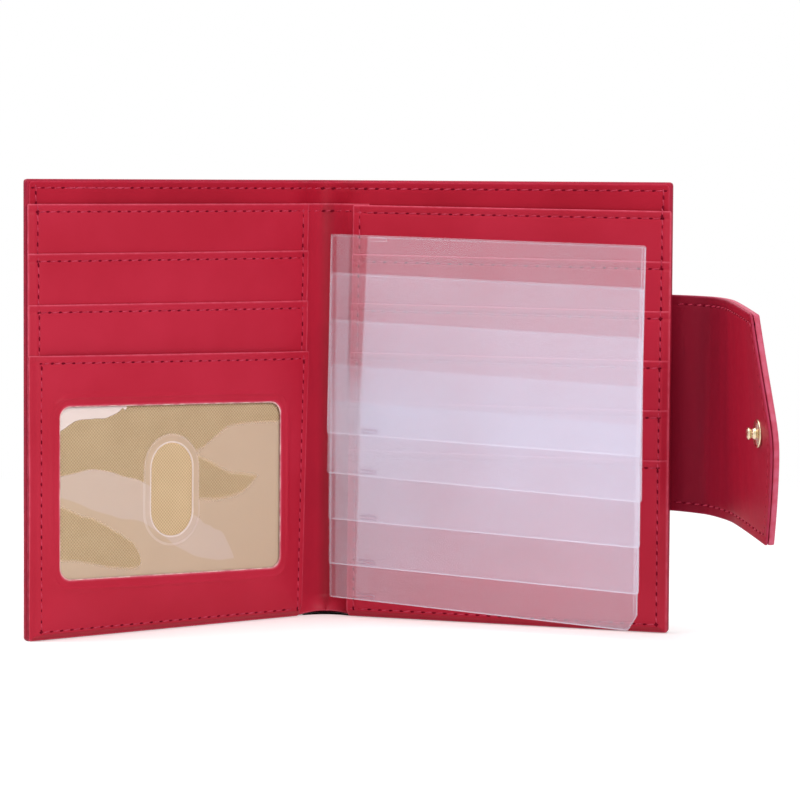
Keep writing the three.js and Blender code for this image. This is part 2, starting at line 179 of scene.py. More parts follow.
def lines(low: float, high: float, pitch: float, seams: Iterable[float] = ()) -> Array:
    """Grid lines over a length, closer at its ends and at its seams.

    Args:
        low: The first line.
        high: The last line.
        pitch: The widest step.
        seams: Places that get a cluster of lines.

    Returns:
        The lines in order, none of them too close to the next.
    """
    even = np.linspace(low, high, max(2, round((high - low) / pitch)) + 1)
    ends = [end for step in EDGE_STEPS for end in (low + step, high - step)]
    sewn = [seam + step for seam in seams for step in SEAM_STEPS]
    kept = [low]
    for line in sorted([*even, *ends, *sewn]):
        if kept[-1] + LEAST_STEP < line < high - LEAST_STEP:
            kept.append(line)
    return np.array([*kept, high])


def rounded_outline(low: float, high: float, foot: float, top: float, radius: float) -> Array:
    """A rectangle with round corners, with as many points whatever its size.

    Args:
        low, high: The sides.
        foot, top: The bottom and the top.
        radius: The radius of the corners.

    Returns:
        The points in order.
    """
    side_points, corner_points = 26, 9
    centres = [(high - radius, foot + radius), (high - radius, top - radius),
               (low + radius, top - radius), (low + radius, foot + radius)]
    arcs = []
    for quarter, (x, z) in enumerate(centres):
        turn = np.radians(np.linspace(-90, 0, corner_points) + 90 * quarter)
        arcs.append(np.stack([x + radius * np.cos(turn), z + radius * np.sin(turn)], 1))
    points = []
    for arc, following in zip(arcs, [*arcs[1:], arcs[0]]):
        points.append(arc)
        share = np.linspace(0, 1, side_points + 2)[1:-1, None]
        points.append(arc[-1] + share * (following[0] - arc[-1]))
    return np.concatenate(points)


@dataclass(frozen=True)
class RoundBox:
    """A rectangle with round corners on a wing."""

    reach: float
    z: float
    width: float
    height: float
    radius: float

    def outline(self, margin: float = 0.0) -> Array:
        """Its outline, grown by a margin."""
        wide, high = self.width / 2 + margin, self.height / 2 + margin
        return rounded_outline(self.reach - wide, self.reach + wide, self.z - high, self.z + high,
                               self.radius + max(0.0, margin / 2))

    def distance(self, reach: Array, z: Array) -> Array:
        """How far places lie outside it, below zero within."""
        points = np.stack([reach.ravel(), z.ravel()], 1)
        far = np.abs(points - (self.reach, self.z)) - (self.width / 2, self.height / 2) + self.radius
        outside = np.linalg.norm(np.maximum(far, 0), axis=1)
        return (outside + np.minimum(far.max(1), 0) - self.radius).reshape(reach.shape)


WINDOW_BOX = RoundBox(50.25, 40.75, 79.1, 49.4, 3.6)
THUMB_BOX = RoundBox(50.4, 40.75, 14.6, 26.9, 7.2)


# Lines in plan that pieces follow

class Path(ABC):
    """What pieces lie along: it turns a reach, a depth and a height into a place."""

    @abstractmethod
    def place(self, reach: Array, depth: Array, z: Array) -> Array:
        """Places in metres.

        Args:
            reach: Distances along the path.
            depth: Distances towards the reader.
            z: Heights.

        Returns:
            One row for each place.
        """

    @abstractmethod
    def facing(self, reach: Array, z: Array) -> Array:
        """The way to the reader at each place."""

    def spot(self, reach: float, depth: float, z: float) -> Vector:
        """One place in metres."""
        return Vector(self.place(np.array([reach]), np.array([depth]), np.array([z]))[0])

    def axis(self, reach: float, z: float) -> Vector:
        """The way to the reader at one place."""
        return Vector(self.facing(np.array([reach]), np.array([z]))[0])


class PlanPath(Path):
    """A line in plan that may bend, with the distance along it and the way to the reader."""

    def __init__(self, along: Array, points: Array, side: int) -> None:
        """Measures the line.

        Args:
            along: The reach at each point.
            points: The points in plan.
            side: 1 where the reader is on the right of the way along, and -1 on the left.
        """
        way = np.gradient(points, along, axis=0)
        way /= np.linalg.norm(way, axis=1)[:, None]
        self.along = along
        self.points = points
        self.normals = side * np.stack([way[:, 1], -way[:, 0]], 1)

    def _read(self, table: Array, reach: Array) -> Array:
        """A table's rows at the given reaches."""
        return np.stack([np.interp(reach, self.along, table[:, axis]) for axis in (0, 1)], 1)

    def place(self, reach: Array, depth: Array, z: Array) -> Array:
        """Places in metres, along the line and then across it."""
        plan = self._read(self.points, reach) + depth[:, None] * self._read(self.normals, reach)
        return np.column_stack([plan, z]) * MM

    def facing(self, reach: Array, z: Array) -> Array:
        """The way to the reader at each place."""
        return np.column_stack([self._read(self.normals, reach), np.zeros(len(reach))])


def straight(x: float, y: float, heading: float, side: int) -> PlanPath:
    """A straight line in plan.

    Args:
        x, y: The place of reach 0.
        heading: The way along, in degrees from +X.
        side: The reader's side, as a plan path takes it.

    Returns:
        The line.
    """
    behind, ahead = -40.0, 160.0
    along = np.array([behind, 0.0, ahead])
    way = np.array([math.cos(math.radians(heading)), math.sin(math.radians(heading))])
    return PlanPath(along, np.array([x, y]) + along[:, None] * way, side)


def wing_path(side: Side) -> PlanPath:
    """The straight line of one wing, from its fold outwards."""
    heading = 180 + FRONT_OPEN if side is Side.FRONT else -BACK_OPEN
    return straight(side.value * FOLD_X, FOLD_Y, heading, side.value)


class ShellPath(PlanPath):
    """The cover's line from the middle of the spine, round the fold and along one wing.

    Its reach is counted from the fold, so it is below zero on the spine.
    The foot of the spine may be arched and flared.
    """

    BEND = 3.0
    BEYOND = 20.0
    SPINE_POINTS = 60
    BEND_POINTS = 30
    WING_POINTS = 40
    ARCH_REACH = (-8.0, 4.0)
    ARCH_HEIGHT = 26.0
    FLARE_HEIGHTS = (0.3, 4.9)

    def __init__(self, side: Side, bow: float, arch: float, flare: float) -> None:
        """Joins the spine's curve, the bend at the fold and the wing.

        Args:
            side: The wing.
            bow: How far the spine bows away from the reader.
            arch: How far the foot of the spine is off the floor.
            flare: How far the foot of the spine stands forward.
        """
        self.arch, self.flare = arch, flare
        wing = wing_path(side)
        ends = (self.BEND, WING_REACH + self.BEYOND)
        start, far = (np.array(wing.spot(reach, 0, 0).xy) / MM for reach in ends)
        fold = np.array([side.value * FOLD_X, FOLD_Y])
        x = np.linspace(0, FOLD_X - self.BEND / 2, self.SPINE_POINTS)
        spine = np.stack([side.value * x, FOLD_Y + bow * (1 - (x / FOLD_X) ** 2)], 1)
        share = np.linspace(0, 1, self.BEND_POINTS)[1:, None]
        corner = (1 - share) ** 2 * spine[-1] + 2 * share * (1 - share) * fold + share ** 2 * start
        run = start + np.linspace(0, 1, self.WING_POINTS)[1:, None] * (far - start)
        points = np.concatenate([spine, corner, run])
        along = np.concatenate([[0], np.cumsum(np.linalg.norm(np.diff(points, axis=0), axis=1))])
        along += self.BEND - along[len(spine) + len(corner) - 1]
        super().__init__(along, points, side.value)

    @property
    def middle(self) -> float:
        """The reach of the middle of the spine."""
        return float(self.along[0])

    def place(self, reach: Array, depth: Array, z: Array) -> Array:
        """Places in metres, with the foot of the spine lifted and brought forward."""
        lift = self.arch * (1 - smooth(*self.ARCH_REACH, reach)) * (1 - smooth(0, self.ARCH_HEIGHT, z))
        flare = self.flare * (1 - smooth(self.middle, 0, reach))
        return super().place(reach, depth + flare * (1 - smooth(*self.FLARE_HEIGHTS, z)), z + lift)


class PocketPath(PlanPath):
    """A wing's line for its pocket block, whose edge by the spine leans and whose pockets tilt."""

    FADE = 9.0
    LOW_HEIGHTS = (1.0, 12.0)
    HIGH_HEIGHTS = (62.0, 112.0)

    def __init__(self, side: Side, lean: Pair, tilt: Pair) -> None:
        """Takes the wing's line.

        Args:
            side: The wing.
            lean: How far the edge by the spine is shifted at its foot and at its top.
            tilt: The slopes of the low and the high pockets, rising outwards.
        """
        wing = wing_path(side)
        super().__init__(wing.along, wing.points, side.value)
        self.lean, self.tilt = lean, tilt

    def place(self, reach: Array, depth: Array, z: Array) -> Array:
        """Places in metres, with the lean and the tilt."""
        edge = self.lean[0] + (self.lean[1] - self.lean[0]) * z / BILL_TOP
        high = smooth(*self.HIGH_HEIGHTS, z)
        slope = self.tilt[0] * smooth(*self.LOW_HEIGHTS, z) * (1 - high) + self.tilt[1] * high
        shifted = reach + edge * (1 - smooth(0, self.FADE, reach))
        return super().place(shifted, depth, z + slope * (reach - PANEL_REACH / 2))


class TwistedPath(Path):
    """A line in plan that differs between its foot and its top, as a twisted strap's does."""

    def __init__(self, low: PlanPath, high: PlanPath, foot: float, top: float,
                 fall: Field, bulge: Field) -> None:
        """Keeps the lines.

        Args:
            low, high: The lines at the foot and at the top.
            foot, top: Their heights.
            fall: How far the strap hangs down at each place.
            bulge: How far it bulges away from the reader at each place.
        """
        self.low, self.high, self.foot, self.top = low, high, foot, top
        self.fall, self.bulge = fall, bulge

    def _share(self, z: Array) -> Array:
        """The part of the way from foot to top."""
        return ((z - self.foot) / (self.top - self.foot))[:, None]

    def place(self, reach: Array, depth: Array, z: Array) -> Array:
        """Places in metres, between those on both lines, with the fall and the bulge."""
        share = self._share(z)
        hung = z - self.fall(reach, z)
        deep = depth - self.bulge(reach, z)
        return (1 - share) * self.low.place(reach, deep, hung) + share * self.high.place(reach, deep, hung)

    def facing(self, reach: Array, z: Array) -> Array:
        """The way to the reader at each place."""
        share = self._share(z)
        mixed = (1 - share) * self.low.facing(reach, z) + share * self.high.facing(reach, z)
        return mixed / np.linalg.norm(mixed, axis=1)[:, None]


# Meshes

def put(name: str, data: bpy.types.ID) -> bpy.types.Object:
    """Adds an object with these data to the scene, at the origin."""
    made = bpy.data.objects.new(name, data)
    bpy.context.scene.collection.objects.link(made)
    return made


@dataclass
class Solid:
    """Closed surfaces on their way to a mesh, with a mask of their edges and a flat map."""

    points: Array
    faces: list[list[int]]
    rim: Array
    flat: Array

    def __add__(self, other: Solid) -> Solid:
        """Both in one."""
        shift = len(self.points)
        faces = self.faces + [[index + shift for index in face] for face in other.faces]
        return Solid(np.concatenate([self.points, other.points]), faces,
                     np.concatenate([self.rim, other.rim]), np.concatenate([self.flat, other.flat]))

    def piece(self, name: str, finish: Material) -> bpy.types.Object:
        """Makes the mesh and its object.

        Args:
            name: The piece's name.
            finish: Its material.

        Returns:
            The object, at the origin.
        """
        mesh = bpy.data.meshes.new(name)
        mesh.from_pydata(self.points.tolist(), [], self.faces)
        sheet = bmesh.new()
        sheet.from_mesh(mesh)
        bmesh.ops.recalc_face_normals(sheet, faces=sheet.faces[:])
        sheet.to_mesh(mesh)
        sheet.free()
        mesh.attributes.new("rim", "FLOAT", "POINT").data.foreach_set("value", self.rim.astype(np.float32))
        corners = np.zeros(len(mesh.loops), np.int32)
        mesh.loops.foreach_get("vertex_index", corners)
        flat = mesh.uv_layers.new(name="flat")
        flat.data.foreach_set("uv", self.flat[corners].astype(np.float32).ravel())
        mesh.shade_smooth()
        mesh.materials.append(finish)
        return put(name, mesh)


@dataclass
class Slab:
    """A closed sheet on a grid of columns and rows, with rolled edges and round corners."""

    columns: Array
    rows: Array
    back: Field
    front: Field
    roll: float = 0.3
    rim: float = 0.6
    corner: float = 0.0
    cut_low: bool = False
    cut_high: bool = False
    high_end: Callable[[Array], Array] | None = None

    def _edge(self, reach: Array, z: Array) -> Array:
        """How far each place is from the nearest rolled edge."""
        sides = [z - self.rows[0], self.rows[-1] - z]
        if not self.cut_low:
            sides.append(reach - self.columns[0])
        if not self.cut_high:
            sides.append(self.columns[-1] - reach)
        return np.minimum.reduce(sides)

    def _rounded(self, reach: Array, z: Array) -> tuple[Array, Array]:
        """Draws the square corners in to round ones.

        Args:
            reach, z: The grid of places.

        Returns:
            The grid with its corners drawn in.
        """
        radius = self.corner
        reach, z = reach.copy(), z.copy()
        ends = [end for end, cut in ((0, self.cut_low), (-1, self.cut_high)) if not cut]
        for end in ends if radius else []:
            for tip in (0, -1):
                out, up = (1 if end else -1), (1 if tip else -1)
                a = 1 - out * (self.columns[end] - reach) / radius
                b = 1 - up * (self.rows[tip] - z) / radius
                near = (a > 0) & (b > 0)
                a, b = a[near], b[near]
                reach[near] = self.columns[end] - out * radius * (1 - a * np.sqrt(1 - b * b / 2))
                z[near] = self.rows[tip] - up * radius * (1 - b * np.sqrt(1 - a * a / 2))
        return reach, z

    def solid(self, path: Path) -> Solid:
        """Lays the sheet along a path.

        Args:
            path: What the sheet follows.

        Returns:
            The closed surface.
        """
        reach, z = np.meshgrid(self.columns, self.rows)
        edge = self._edge(reach, z)
        reach, z = self._rounded(reach, z)
        if self.high_end is not None:
            low, high = self.columns[0], self.columns[-1]
            reach = low + (reach - low) * (self.high_end(z) - low) / (high - low)
        return closed_sheet(self, path, reach, z, edge)


@dataclass
class Ring:
    """A closed sheet between an opening and an outer outline, with rolled edges."""

    opening: Array
    outline: Array
    back: Field
    front: Field
    roll: float = 0.3
    rim: float = 0.6
    inner_steps: tuple[float, ...] = (0.0, 0.06, 0.15, 0.3, 0.6, 1.0, 1.4, 1.8, 2.1, 2.4, 2.7, 3.0, 3.6)
    outer_steps: tuple[float, ...] = (3.4, 2.8, 2.4, 2.1, 1.8, 1.4, 1.1, 0.6, 0.3, 0.15, 0.06, 0.0)
    middle_steps: int = 5

    def solid(self, path: Path) -> Solid:
        """Lays the sheet along a path.

        Args:
            path: What the sheet follows.

        Returns:
            The closed surface.
        """
        span = self.outline - self.opening
        length = np.linalg.norm(span, axis=1)
        first = np.array(self.inner_steps)[:, None] / length
        last = 1 - np.array(self.outer_steps)[:, None] / length
        share = np.linspace(0, 1, self.middle_steps + 2)[1:-1, None]
        between = first[-1] + share * (last[0] - first[-1])
        shares = np.concatenate([first, between, last])
        reach = self.opening[:, 0] + shares * span[:, 0]
        z = self.opening[:, 1] + shares * span[:, 1]
        return closed_sheet(self, path, reach, z, np.minimum(shares, 1 - shares) * length)


def closed_sheet(sheet: Slab | Ring, path: Path, reach: Array, z: Array, edge: Array) -> Solid:
    """Joins a sheet's front face, its back face and the strips between them.

    Args:
        sheet: The sheet. The rows of a ring close on themselves.
        path: What the sheet follows.
        reach, z: The grid of places.
        edge: How far each place is from the nearest edge.

    Returns:
        The closed surface.
    """
    grid = np.arange(reach.size).reshape(reach.shape)
    if isinstance(sheet, Ring):
        grid = np.concatenate([grid, grid[:, :1]], 1)
        loops = [grid[0], grid[-1]]
    else:
        loops = [np.concatenate([grid[0], grid[1:, -1], grid[-1, -2::-1], grid[-2::-1, 0]])]
    quads = np.stack([grid[:-1, :-1], grid[:-1, 1:], grid[1:, 1:], grid[1:, :-1]], -1).reshape(-1, 4)
    strips = [np.stack([loop[:-1], loop[:-1] + reach.size, loop[1:] + reach.size, loop[1:]], 1)
              for loop in loops]
    faces = np.concatenate([quads, quads[:, ::-1] + reach.size, *strips]).tolist()
    share = np.clip(edge / sheet.roll, 0, 1)
    swell = EDGE_FLAT + (1 - EDGE_FLAT) * np.sqrt(1 - (1 - share) ** 2)
    front, back = sheet.front(reach, z), sheet.back(reach, z)
    middle, half = (front + back) / 2, (front - back) / 2 * swell
    places = np.stack([reach.ravel(), z.ravel()], 1)
    points = [path.place(places[:, 0], depth.ravel(), places[:, 1])
              for depth in (middle + half, middle - half)]
    rim = 1 - smooth(0, sheet.rim, edge.ravel())
    return Solid(np.concatenate(points), faces, np.tile(rim, 2), np.tile(places * FLAT_SCALE, (2, 1)))


def softened(profile: list[Pair], radius: float, steps: int = 5) -> Array:
    """A lathe profile with its inner corners rounded.

    Args:
        profile: Radii and heights.
        radius: The most that a corner is cut back.
        steps: The points of each rounded corner.

    Returns:
        The finer profile.
    """
    points = np.array(profile)
    made = [points[0]]
    for before, here, after in zip(points, points[1:], points[2:]):
        first, second = before - here, after - here
        back = min(radius, np.linalg.norm(first) / 2) * first / np.linalg.norm(first)
        ahead = min(radius, np.linalg.norm(second) / 2) * second / np.linalg.norm(second)
        for share in np.linspace(0, 1, steps):
            made.append(here + (1 - share) ** 2 * back + share ** 2 * ahead)
    return np.array([*made, points[-1]])


def lathe(profile: Array, seat: Vector, axis: Vector, around: int = 56) -> Solid:
    """Turns a profile about an axis, on which it starts and ends.

    Args:
        profile: Radii and heights along the axis.
        seat: The place of height 0, in metres.
        axis: The way that heights grow.
        around: The number of steps round the axis.

    Returns:
        The closed surface.
    """
    points: list[list[float]] = []
    rings: list[list[int]] = []
    angles = np.linspace(0, 2 * math.pi, around, endpoint=False)
    for radius, height in profile:
        first = len(points)
        steps = angles if radius > ON_AXIS else angles[:1]
        points += [[radius * math.cos(angle), radius * math.sin(angle), height] for angle in steps]
        rings.append([first + min(step, len(steps) - 1) for step in range(around)])
    faces = []
    for ring, following in zip(rings, rings[1:]):
        for step in range(around):
            after = (step + 1) % around
            face = list(dict.fromkeys([ring[step], ring[after], following[after], following[step]]))
            if len(face) > 2:
                faces.append(face)
    turned = np.array(points)
    placed = turned * MM @ np.array(axis.to_track_quat("Z", "Y").to_matrix()).T + np.array(seat)
    return Solid(placed, faces, np.zeros(len(placed)), turned[:, :2] * FLAT_SCALE)


# Node trees

class Value:
    """A socket that takes part in Python arithmetic."""

    def __init__(self, tree: Tree, socket: bpy.types.NodeSocket) -> None:
        """Wraps an output socket of a tree's node."""
        self.tree = tree
        self.socket = socket

    def _math(self, operation: str, first: Any, second: Any = 0.0) -> Value:
        """One Math node."""
        return self.tree.value("ShaderNodeMath", {"operation": operation}, {0: first, 1: second})

    def __add__(self, other: Any) -> Value:
        """The sum."""
        return self._math("ADD", self, other)

    __radd__ = __add__

    def __sub__(self, other: Any) -> Value:
        """The difference."""
        return self._math("SUBTRACT", self, other)

    def __rsub__(self, other: Any) -> Value:
        """The difference the other way."""
        return self._math("SUBTRACT", other, self)

    def __mul__(self, other: Any) -> Value:
        """The product."""
        return self._math("MULTIPLY", self, other)

    __rmul__ = __mul__

    def __truediv__(self, other: Any) -> Value:
        """The quotient."""
        return self._math("DIVIDE", self, other)

    def sine(self) -> Value:
        """The sine."""
        return self._math("SINE", self)

    def size(self) -> Value:
        """The value without its sign."""
        return self._math("ABSOLUTE", self)

    def power(self, exponent: float) -> Value:
        """The value raised to an exponent."""
        return self._math("POWER", self, exponent)

    def most(self, other: Any) -> Value:
        """The larger one."""
        return self._math("MAXIMUM", self, other)

    def eased(self, low: float, high: float) -> Value:
        """Eases from 0 at low to 1 at high."""
        return self.tree.value("ShaderNodeMapRange", {"interpolation_type": "SMOOTHSTEP"},
                               {"Value": self, "From Min": low, "From Max": high})

    def firm(self) -> Value:
        """A noise with its middle tones drawn apart."""
        return self.eased(0.3, 0.7)

    def line(self, place: Any, width: float) -> Value:
        """1 on a line at a place, falling to 0 at its width."""
        return 1 - (self - place).size().eased(width / 2, width)


class Tree:
    """A node tree whose nodes are all added by one method."""

    def __init__(self, nodes: bpy.types.NodeTree) -> None:
        """Wraps an empty tree."""
        self.nodes = nodes

    def node(self, kind: str, settings: dict[str, Any] | None = None,
             inputs: dict[int | str, Any] | None = None) -> bpy.types.Node:
        """Adds a node.

        Args:
            kind: The node's type.
            settings: Its properties, set first.
            inputs: Values or links of its sockets, by name or number.

        Returns:
            The node.
        """
        made = self.nodes.nodes.new(kind)
        for key, setting in (settings or {}).items():
            if key == "stops":
                self._set_stops(made.color_ramp, setting)
            else:
                setattr(made, key, setting)
        for key, given in (inputs or {}).items():
            if isinstance(given, Value):
                self.nodes.links.new(given.socket, made.inputs[key])
            else:
                made.inputs[key].default_value = given
        return made

    @staticmethod
    def _set_stops(ramp: bpy.types.ColorRamp, stops: Iterable[Pair]) -> None:
        """Makes a smooth grey ramp through stops, each a position and a level."""
        ramp.interpolation = "CARDINAL"
        for index, (position, tone) in enumerate(stops):
            stop = ramp.elements[index] if index < 2 else ramp.elements.new(position)
            stop.position = position
            stop.color = (tone, tone, tone, 1)

    def value(self, kind: str, settings: dict[str, Any] | None = None,
              inputs: dict[int | str, Any] | None = None, output: int | str = 0) -> Value:
        """Adds a node and takes one of its outputs."""
        return Value(self, self.node(kind, settings, inputs).outputs[output])

    def mixed(self, share: Any, first: Any, second: Any) -> Value:
        """A colour between two."""
        return self.value("ShaderNodeMix", {"data_type": "RGBA"}, {0: share, 6: first, 7: second}, 2)

    def between(self, share: Value, first: Value, second: Value) -> Value:
        """A shader between two."""
        return self.value("ShaderNodeMixShader", None, {0: share, 1: first, 2: second})


def linear(red: float, green: float, blue: float) -> tuple[float, float, float, float]:
    """A screen colour, from 0 to 255, as a shader's colour."""
    def channel(value: float) -> float:
        """One channel."""
        share = value / 255
        return share / 12.92 if share <= 0.04045 else ((share + 0.055) / 1.055) ** 2.4
    return channel(red), channel(green), channel(blue), 1.0


class Shader(Tree):
    """A material's tree with its surface shader."""

    CURVE_SPAN = 80.0

    def __init__(self, name: str) -> None:
        """Makes a material with an empty tree."""
        self.material = bpy.data.materials.new(name)
        self.material.use_nodes = True
        super().__init__(self.material.node_tree)
        self.nodes.nodes.clear()

    def place(self) -> Value:
        """Object coordinates, in metres."""
        return self.value("ShaderNodeTexCoord", output="Object")

    def noise(self, size: float, detail: float = 2.0, place: Value | None = None) -> Value:
        """Cloudy noise with features of a size in millimetres."""
        return self.value("ShaderNodeTexNoise", None,
                          {"Vector": place or self.place(), "Scale": 1 / (size * MM), "Detail": detail})

    def split(self, vector: Value) -> list[Value]:
        """The three numbers of a vector."""
        parts = self.node("ShaderNodeSeparateXYZ", None, {0: vector})
        return [Value(self, socket) for socket in parts.outputs]

    def flat(self) -> tuple[Value, Value]:
        """The reach and the height on the piece's own flat map, in millimetres."""
        reach, z, _ = self.split(self.value("ShaderNodeUVMap", {"uv_map": "flat"}))
        return reach / FLAT_SCALE, z / FLAT_SCALE

    def height(self) -> Value:
        """The height above the floor at rest, in millimetres."""
        return self.split(self.place())[2] / MM

    def curve(self, value: Value, stops: Stops) -> Value:
        """A smooth curve through stops, each a value and a level, both from 0 to the curve's span."""
        span = self.CURVE_SPAN
        shares = [(at / span, tone / span) for at, tone in stops]
        return self.value("ShaderNodeValToRGB", {"stops": shares}, {0: value / span}) * span

    def rim(self) -> Value:
        """The mask of the piece's edges."""
        return self.value("ShaderNodeAttribute", {"attribute_name": "rim"}, output="Fac")

    def bump(self, height: Value, strength: float, distance: float) -> Value:
        """A bumped normal, with its distance in millimetres."""
        return self.value("ShaderNodeBump", None,
                          {"Strength": strength, "Distance": distance * MM, "Height": height})

    def surface(self, inputs: dict[int | str, Any]) -> Material:
        """Ends the tree in a Principled shader with these inputs."""
        shader = self.value("ShaderNodeBsdfPrincipled", None, inputs)
        self.node("ShaderNodeOutputMaterial", None, {"Surface": shader})
        return self.material


# Finishes

@dataclass(frozen=True)
class LeatherFinish:
    """Smooth dyed leather with a fine grain and cloudy colour. Its edges take a colour that is partly rubbed
    wear and partly painted light: a painted highlight where that colour is lighter, painted shade where it
    is darker.
    """

    name: str
    colour: Colour
    deep: Colour
    worn: Colour
    wear: float = 0.8
    roughness: float = 0.46
    roughness_spread: float = 0.12
    gloss: float = 0.16
    grain: float = 0.5
    grain_share: float = 0.6
    crinkle: float = 2.4
    relief: float = 0.16
    relief_depth: float = 0.12
    cloud: float = 26.0
    streak: float = 0.0
    streak_draw: float = 0.1
    fade: Pair | None = None
    fade_share: float = 0.75

    def _tone(self, shader: Shader) -> Value:
        """The cloudy tone. Streaks draw it out upwards, and a painted shade darkens it towards low reaches.

        Args:
            shader: The material's tree.

        Returns:
            The tone, from 0 where the colour is deep to 1.
        """
        place = shader.place()
        if self.streak:
            place = shader.value("ShaderNodeVectorMath", {"operation": "MULTIPLY"},
                                 {0: place, 1: (1, 1, self.streak_draw)})
        tone = shader.noise(self.streak or self.cloud, 3, place).firm()
        # Painted shade: the tone darkens towards low reaches on the flat map.
        if self.fade:
            painted_shade_tone = shader.flat()[0].eased(*self.fade)
            tone = tone * (1 - self.fade_share) + painted_shade_tone * self.fade_share
        return tone

    def make(self) -> Material:
        """The material."""
        shader = Shader(self.name)
        fine = shader.noise(self.crinkle, 4)
        pores = shader.value("ShaderNodeTexVoronoi", None,
                             {"Vector": shader.place(), "Scale": 1 / (self.grain * MM)})
        dyed = shader.mixed(self._tone(shader), linear(*self.deep), linear(*self.colour))
        # The edge colour is partly rubbed wear and partly painted light: a painted highlight on lighter
        # edges, painted shade on the cover's darker edge.
        rim_wear_and_painted_light_mask = shader.rim() * (fine.firm() * 0.5 + 0.5) * self.wear
        return shader.surface({
            "Base Color": shader.mixed(rim_wear_and_painted_light_mask, dyed, linear(*self.worn)),
            "Roughness": self.roughness + (fine - 0.5) * self.roughness_spread,
            "Specular IOR Level": self.gloss,
            "Normal": shader.bump(pores * self.grain_share + fine, self.relief, self.relief_depth),
        })


@dataclass(frozen=True)
class WeaveFinish:
    """Plain weave of round threads."""

    name: str
    colour: Colour
    deep: Colour
    pitch: float = 1.0
    thread_tone: float = 0.75
    cloud: float = 9.0
    cloud_tone: float = 0.3
    shade: float = 0.02

    def make(self) -> Material:
        """The material."""
        shader = Shader(self.name)
        reach, z = shader.flat()
        turn = 2 * math.pi / self.pitch
        thread = (reach * turn).sine() * (z * turn).sine() * 0.5 + 0.5
        tone = thread * self.thread_tone + shader.noise(self.cloud, 3) * self.cloud_tone - self.shade
        return shader.surface({
            "Base Color": shader.mixed(tone, linear(*self.deep), linear(*self.colour)),
            "Roughness": 0.8 - thread * 0.15,
            "Specular IOR Level": 0.2,
            "Normal": shader.bump(thread, 0.5, 0.12),
        })


@dataclass(frozen=True)
class SleeveFinish:
    """Clear soft film with a milky haze: thinner along its binding and denser at its edges. Beside the
    binding, low down, extra haze is painted light over the shade of the spine's recess.
    """

    name: str
    haze: Colour
    veil: float
    binding_veil: float
    binding_foot: float
    binding_slope: float
    gutter: float
    gutter_width: float = 0.9
    gutter_clear: float = 0.45
    panel_edge: float = 6.3
    panel_clear: float = 0.5
    upper: Pair = (62.0, 80.0)
    dense: float = 0.25
    dense_reach: Pair = (14.0, 45.0)
    cloud: float = 30.0
    cloud_veil: float = 0.04
    rim_veil: float = 0.04
    outer_rim_veil: float = 0.06

    def make(self) -> Material:
        """The material. The flat map counts from the sleeve's folded edge."""
        shader = Shader(self.name)
        reach, _ = shader.flat()
        height = shader.height()
        upper = height.eased(*self.upper)
        binding = height * self.binding_slope + self.binding_foot
        bound = 1 - (reach - binding).eased(-0.5, 0.3)
        gutter = reach.line(self.gutter, self.gutter_width) * self.gutter_clear
        panel = bound * (reach - self.panel_edge).eased(-0.3, 0.3) * upper * self.panel_clear
        # Painted light: extra haze beside the binding lifts the shade that the spine's recess casts there.
        dense = (1 - bound) * (1 - reach.eased(*self.dense_reach)) * (1 - upper) * self.dense
        cloud = (shader.noise(self.cloud) - 0.5) * self.cloud_veil
        thin = bound * (self.binding_veil - self.veil) - (gutter + panel) * self.binding_veil
        veil = self.veil + cloud + thin + dense * self.veil
        edge = shader.rim() * (self.rim_veil + reach.eased(0.6, 1.2) * self.outer_rim_veil)
        return shader.surface({
            "Base Color": linear(*self.haze),
            "Roughness": 0.32 + shader.noise(12) * 0.1,
            "Specular IOR Level": 0.25,
            "Alpha": veil + edge,
        })


@dataclass(frozen=True)
class WeldFinish:
    """Film where two layers are melted together."""

    name: str
    haze: Colour
    veil: float
    patchy: float = 0.2

    def make(self) -> Material:
        """The material."""
        shader = Shader(self.name)
        return shader.surface({
            "Base Color": linear(*self.haze),
            "Roughness": 0.22 + shader.noise(3) * 0.12,
            "Specular IOR Level": 0.4,
            "Alpha": self.veil + (shader.noise(6) - 0.5) * self.patchy,
        })


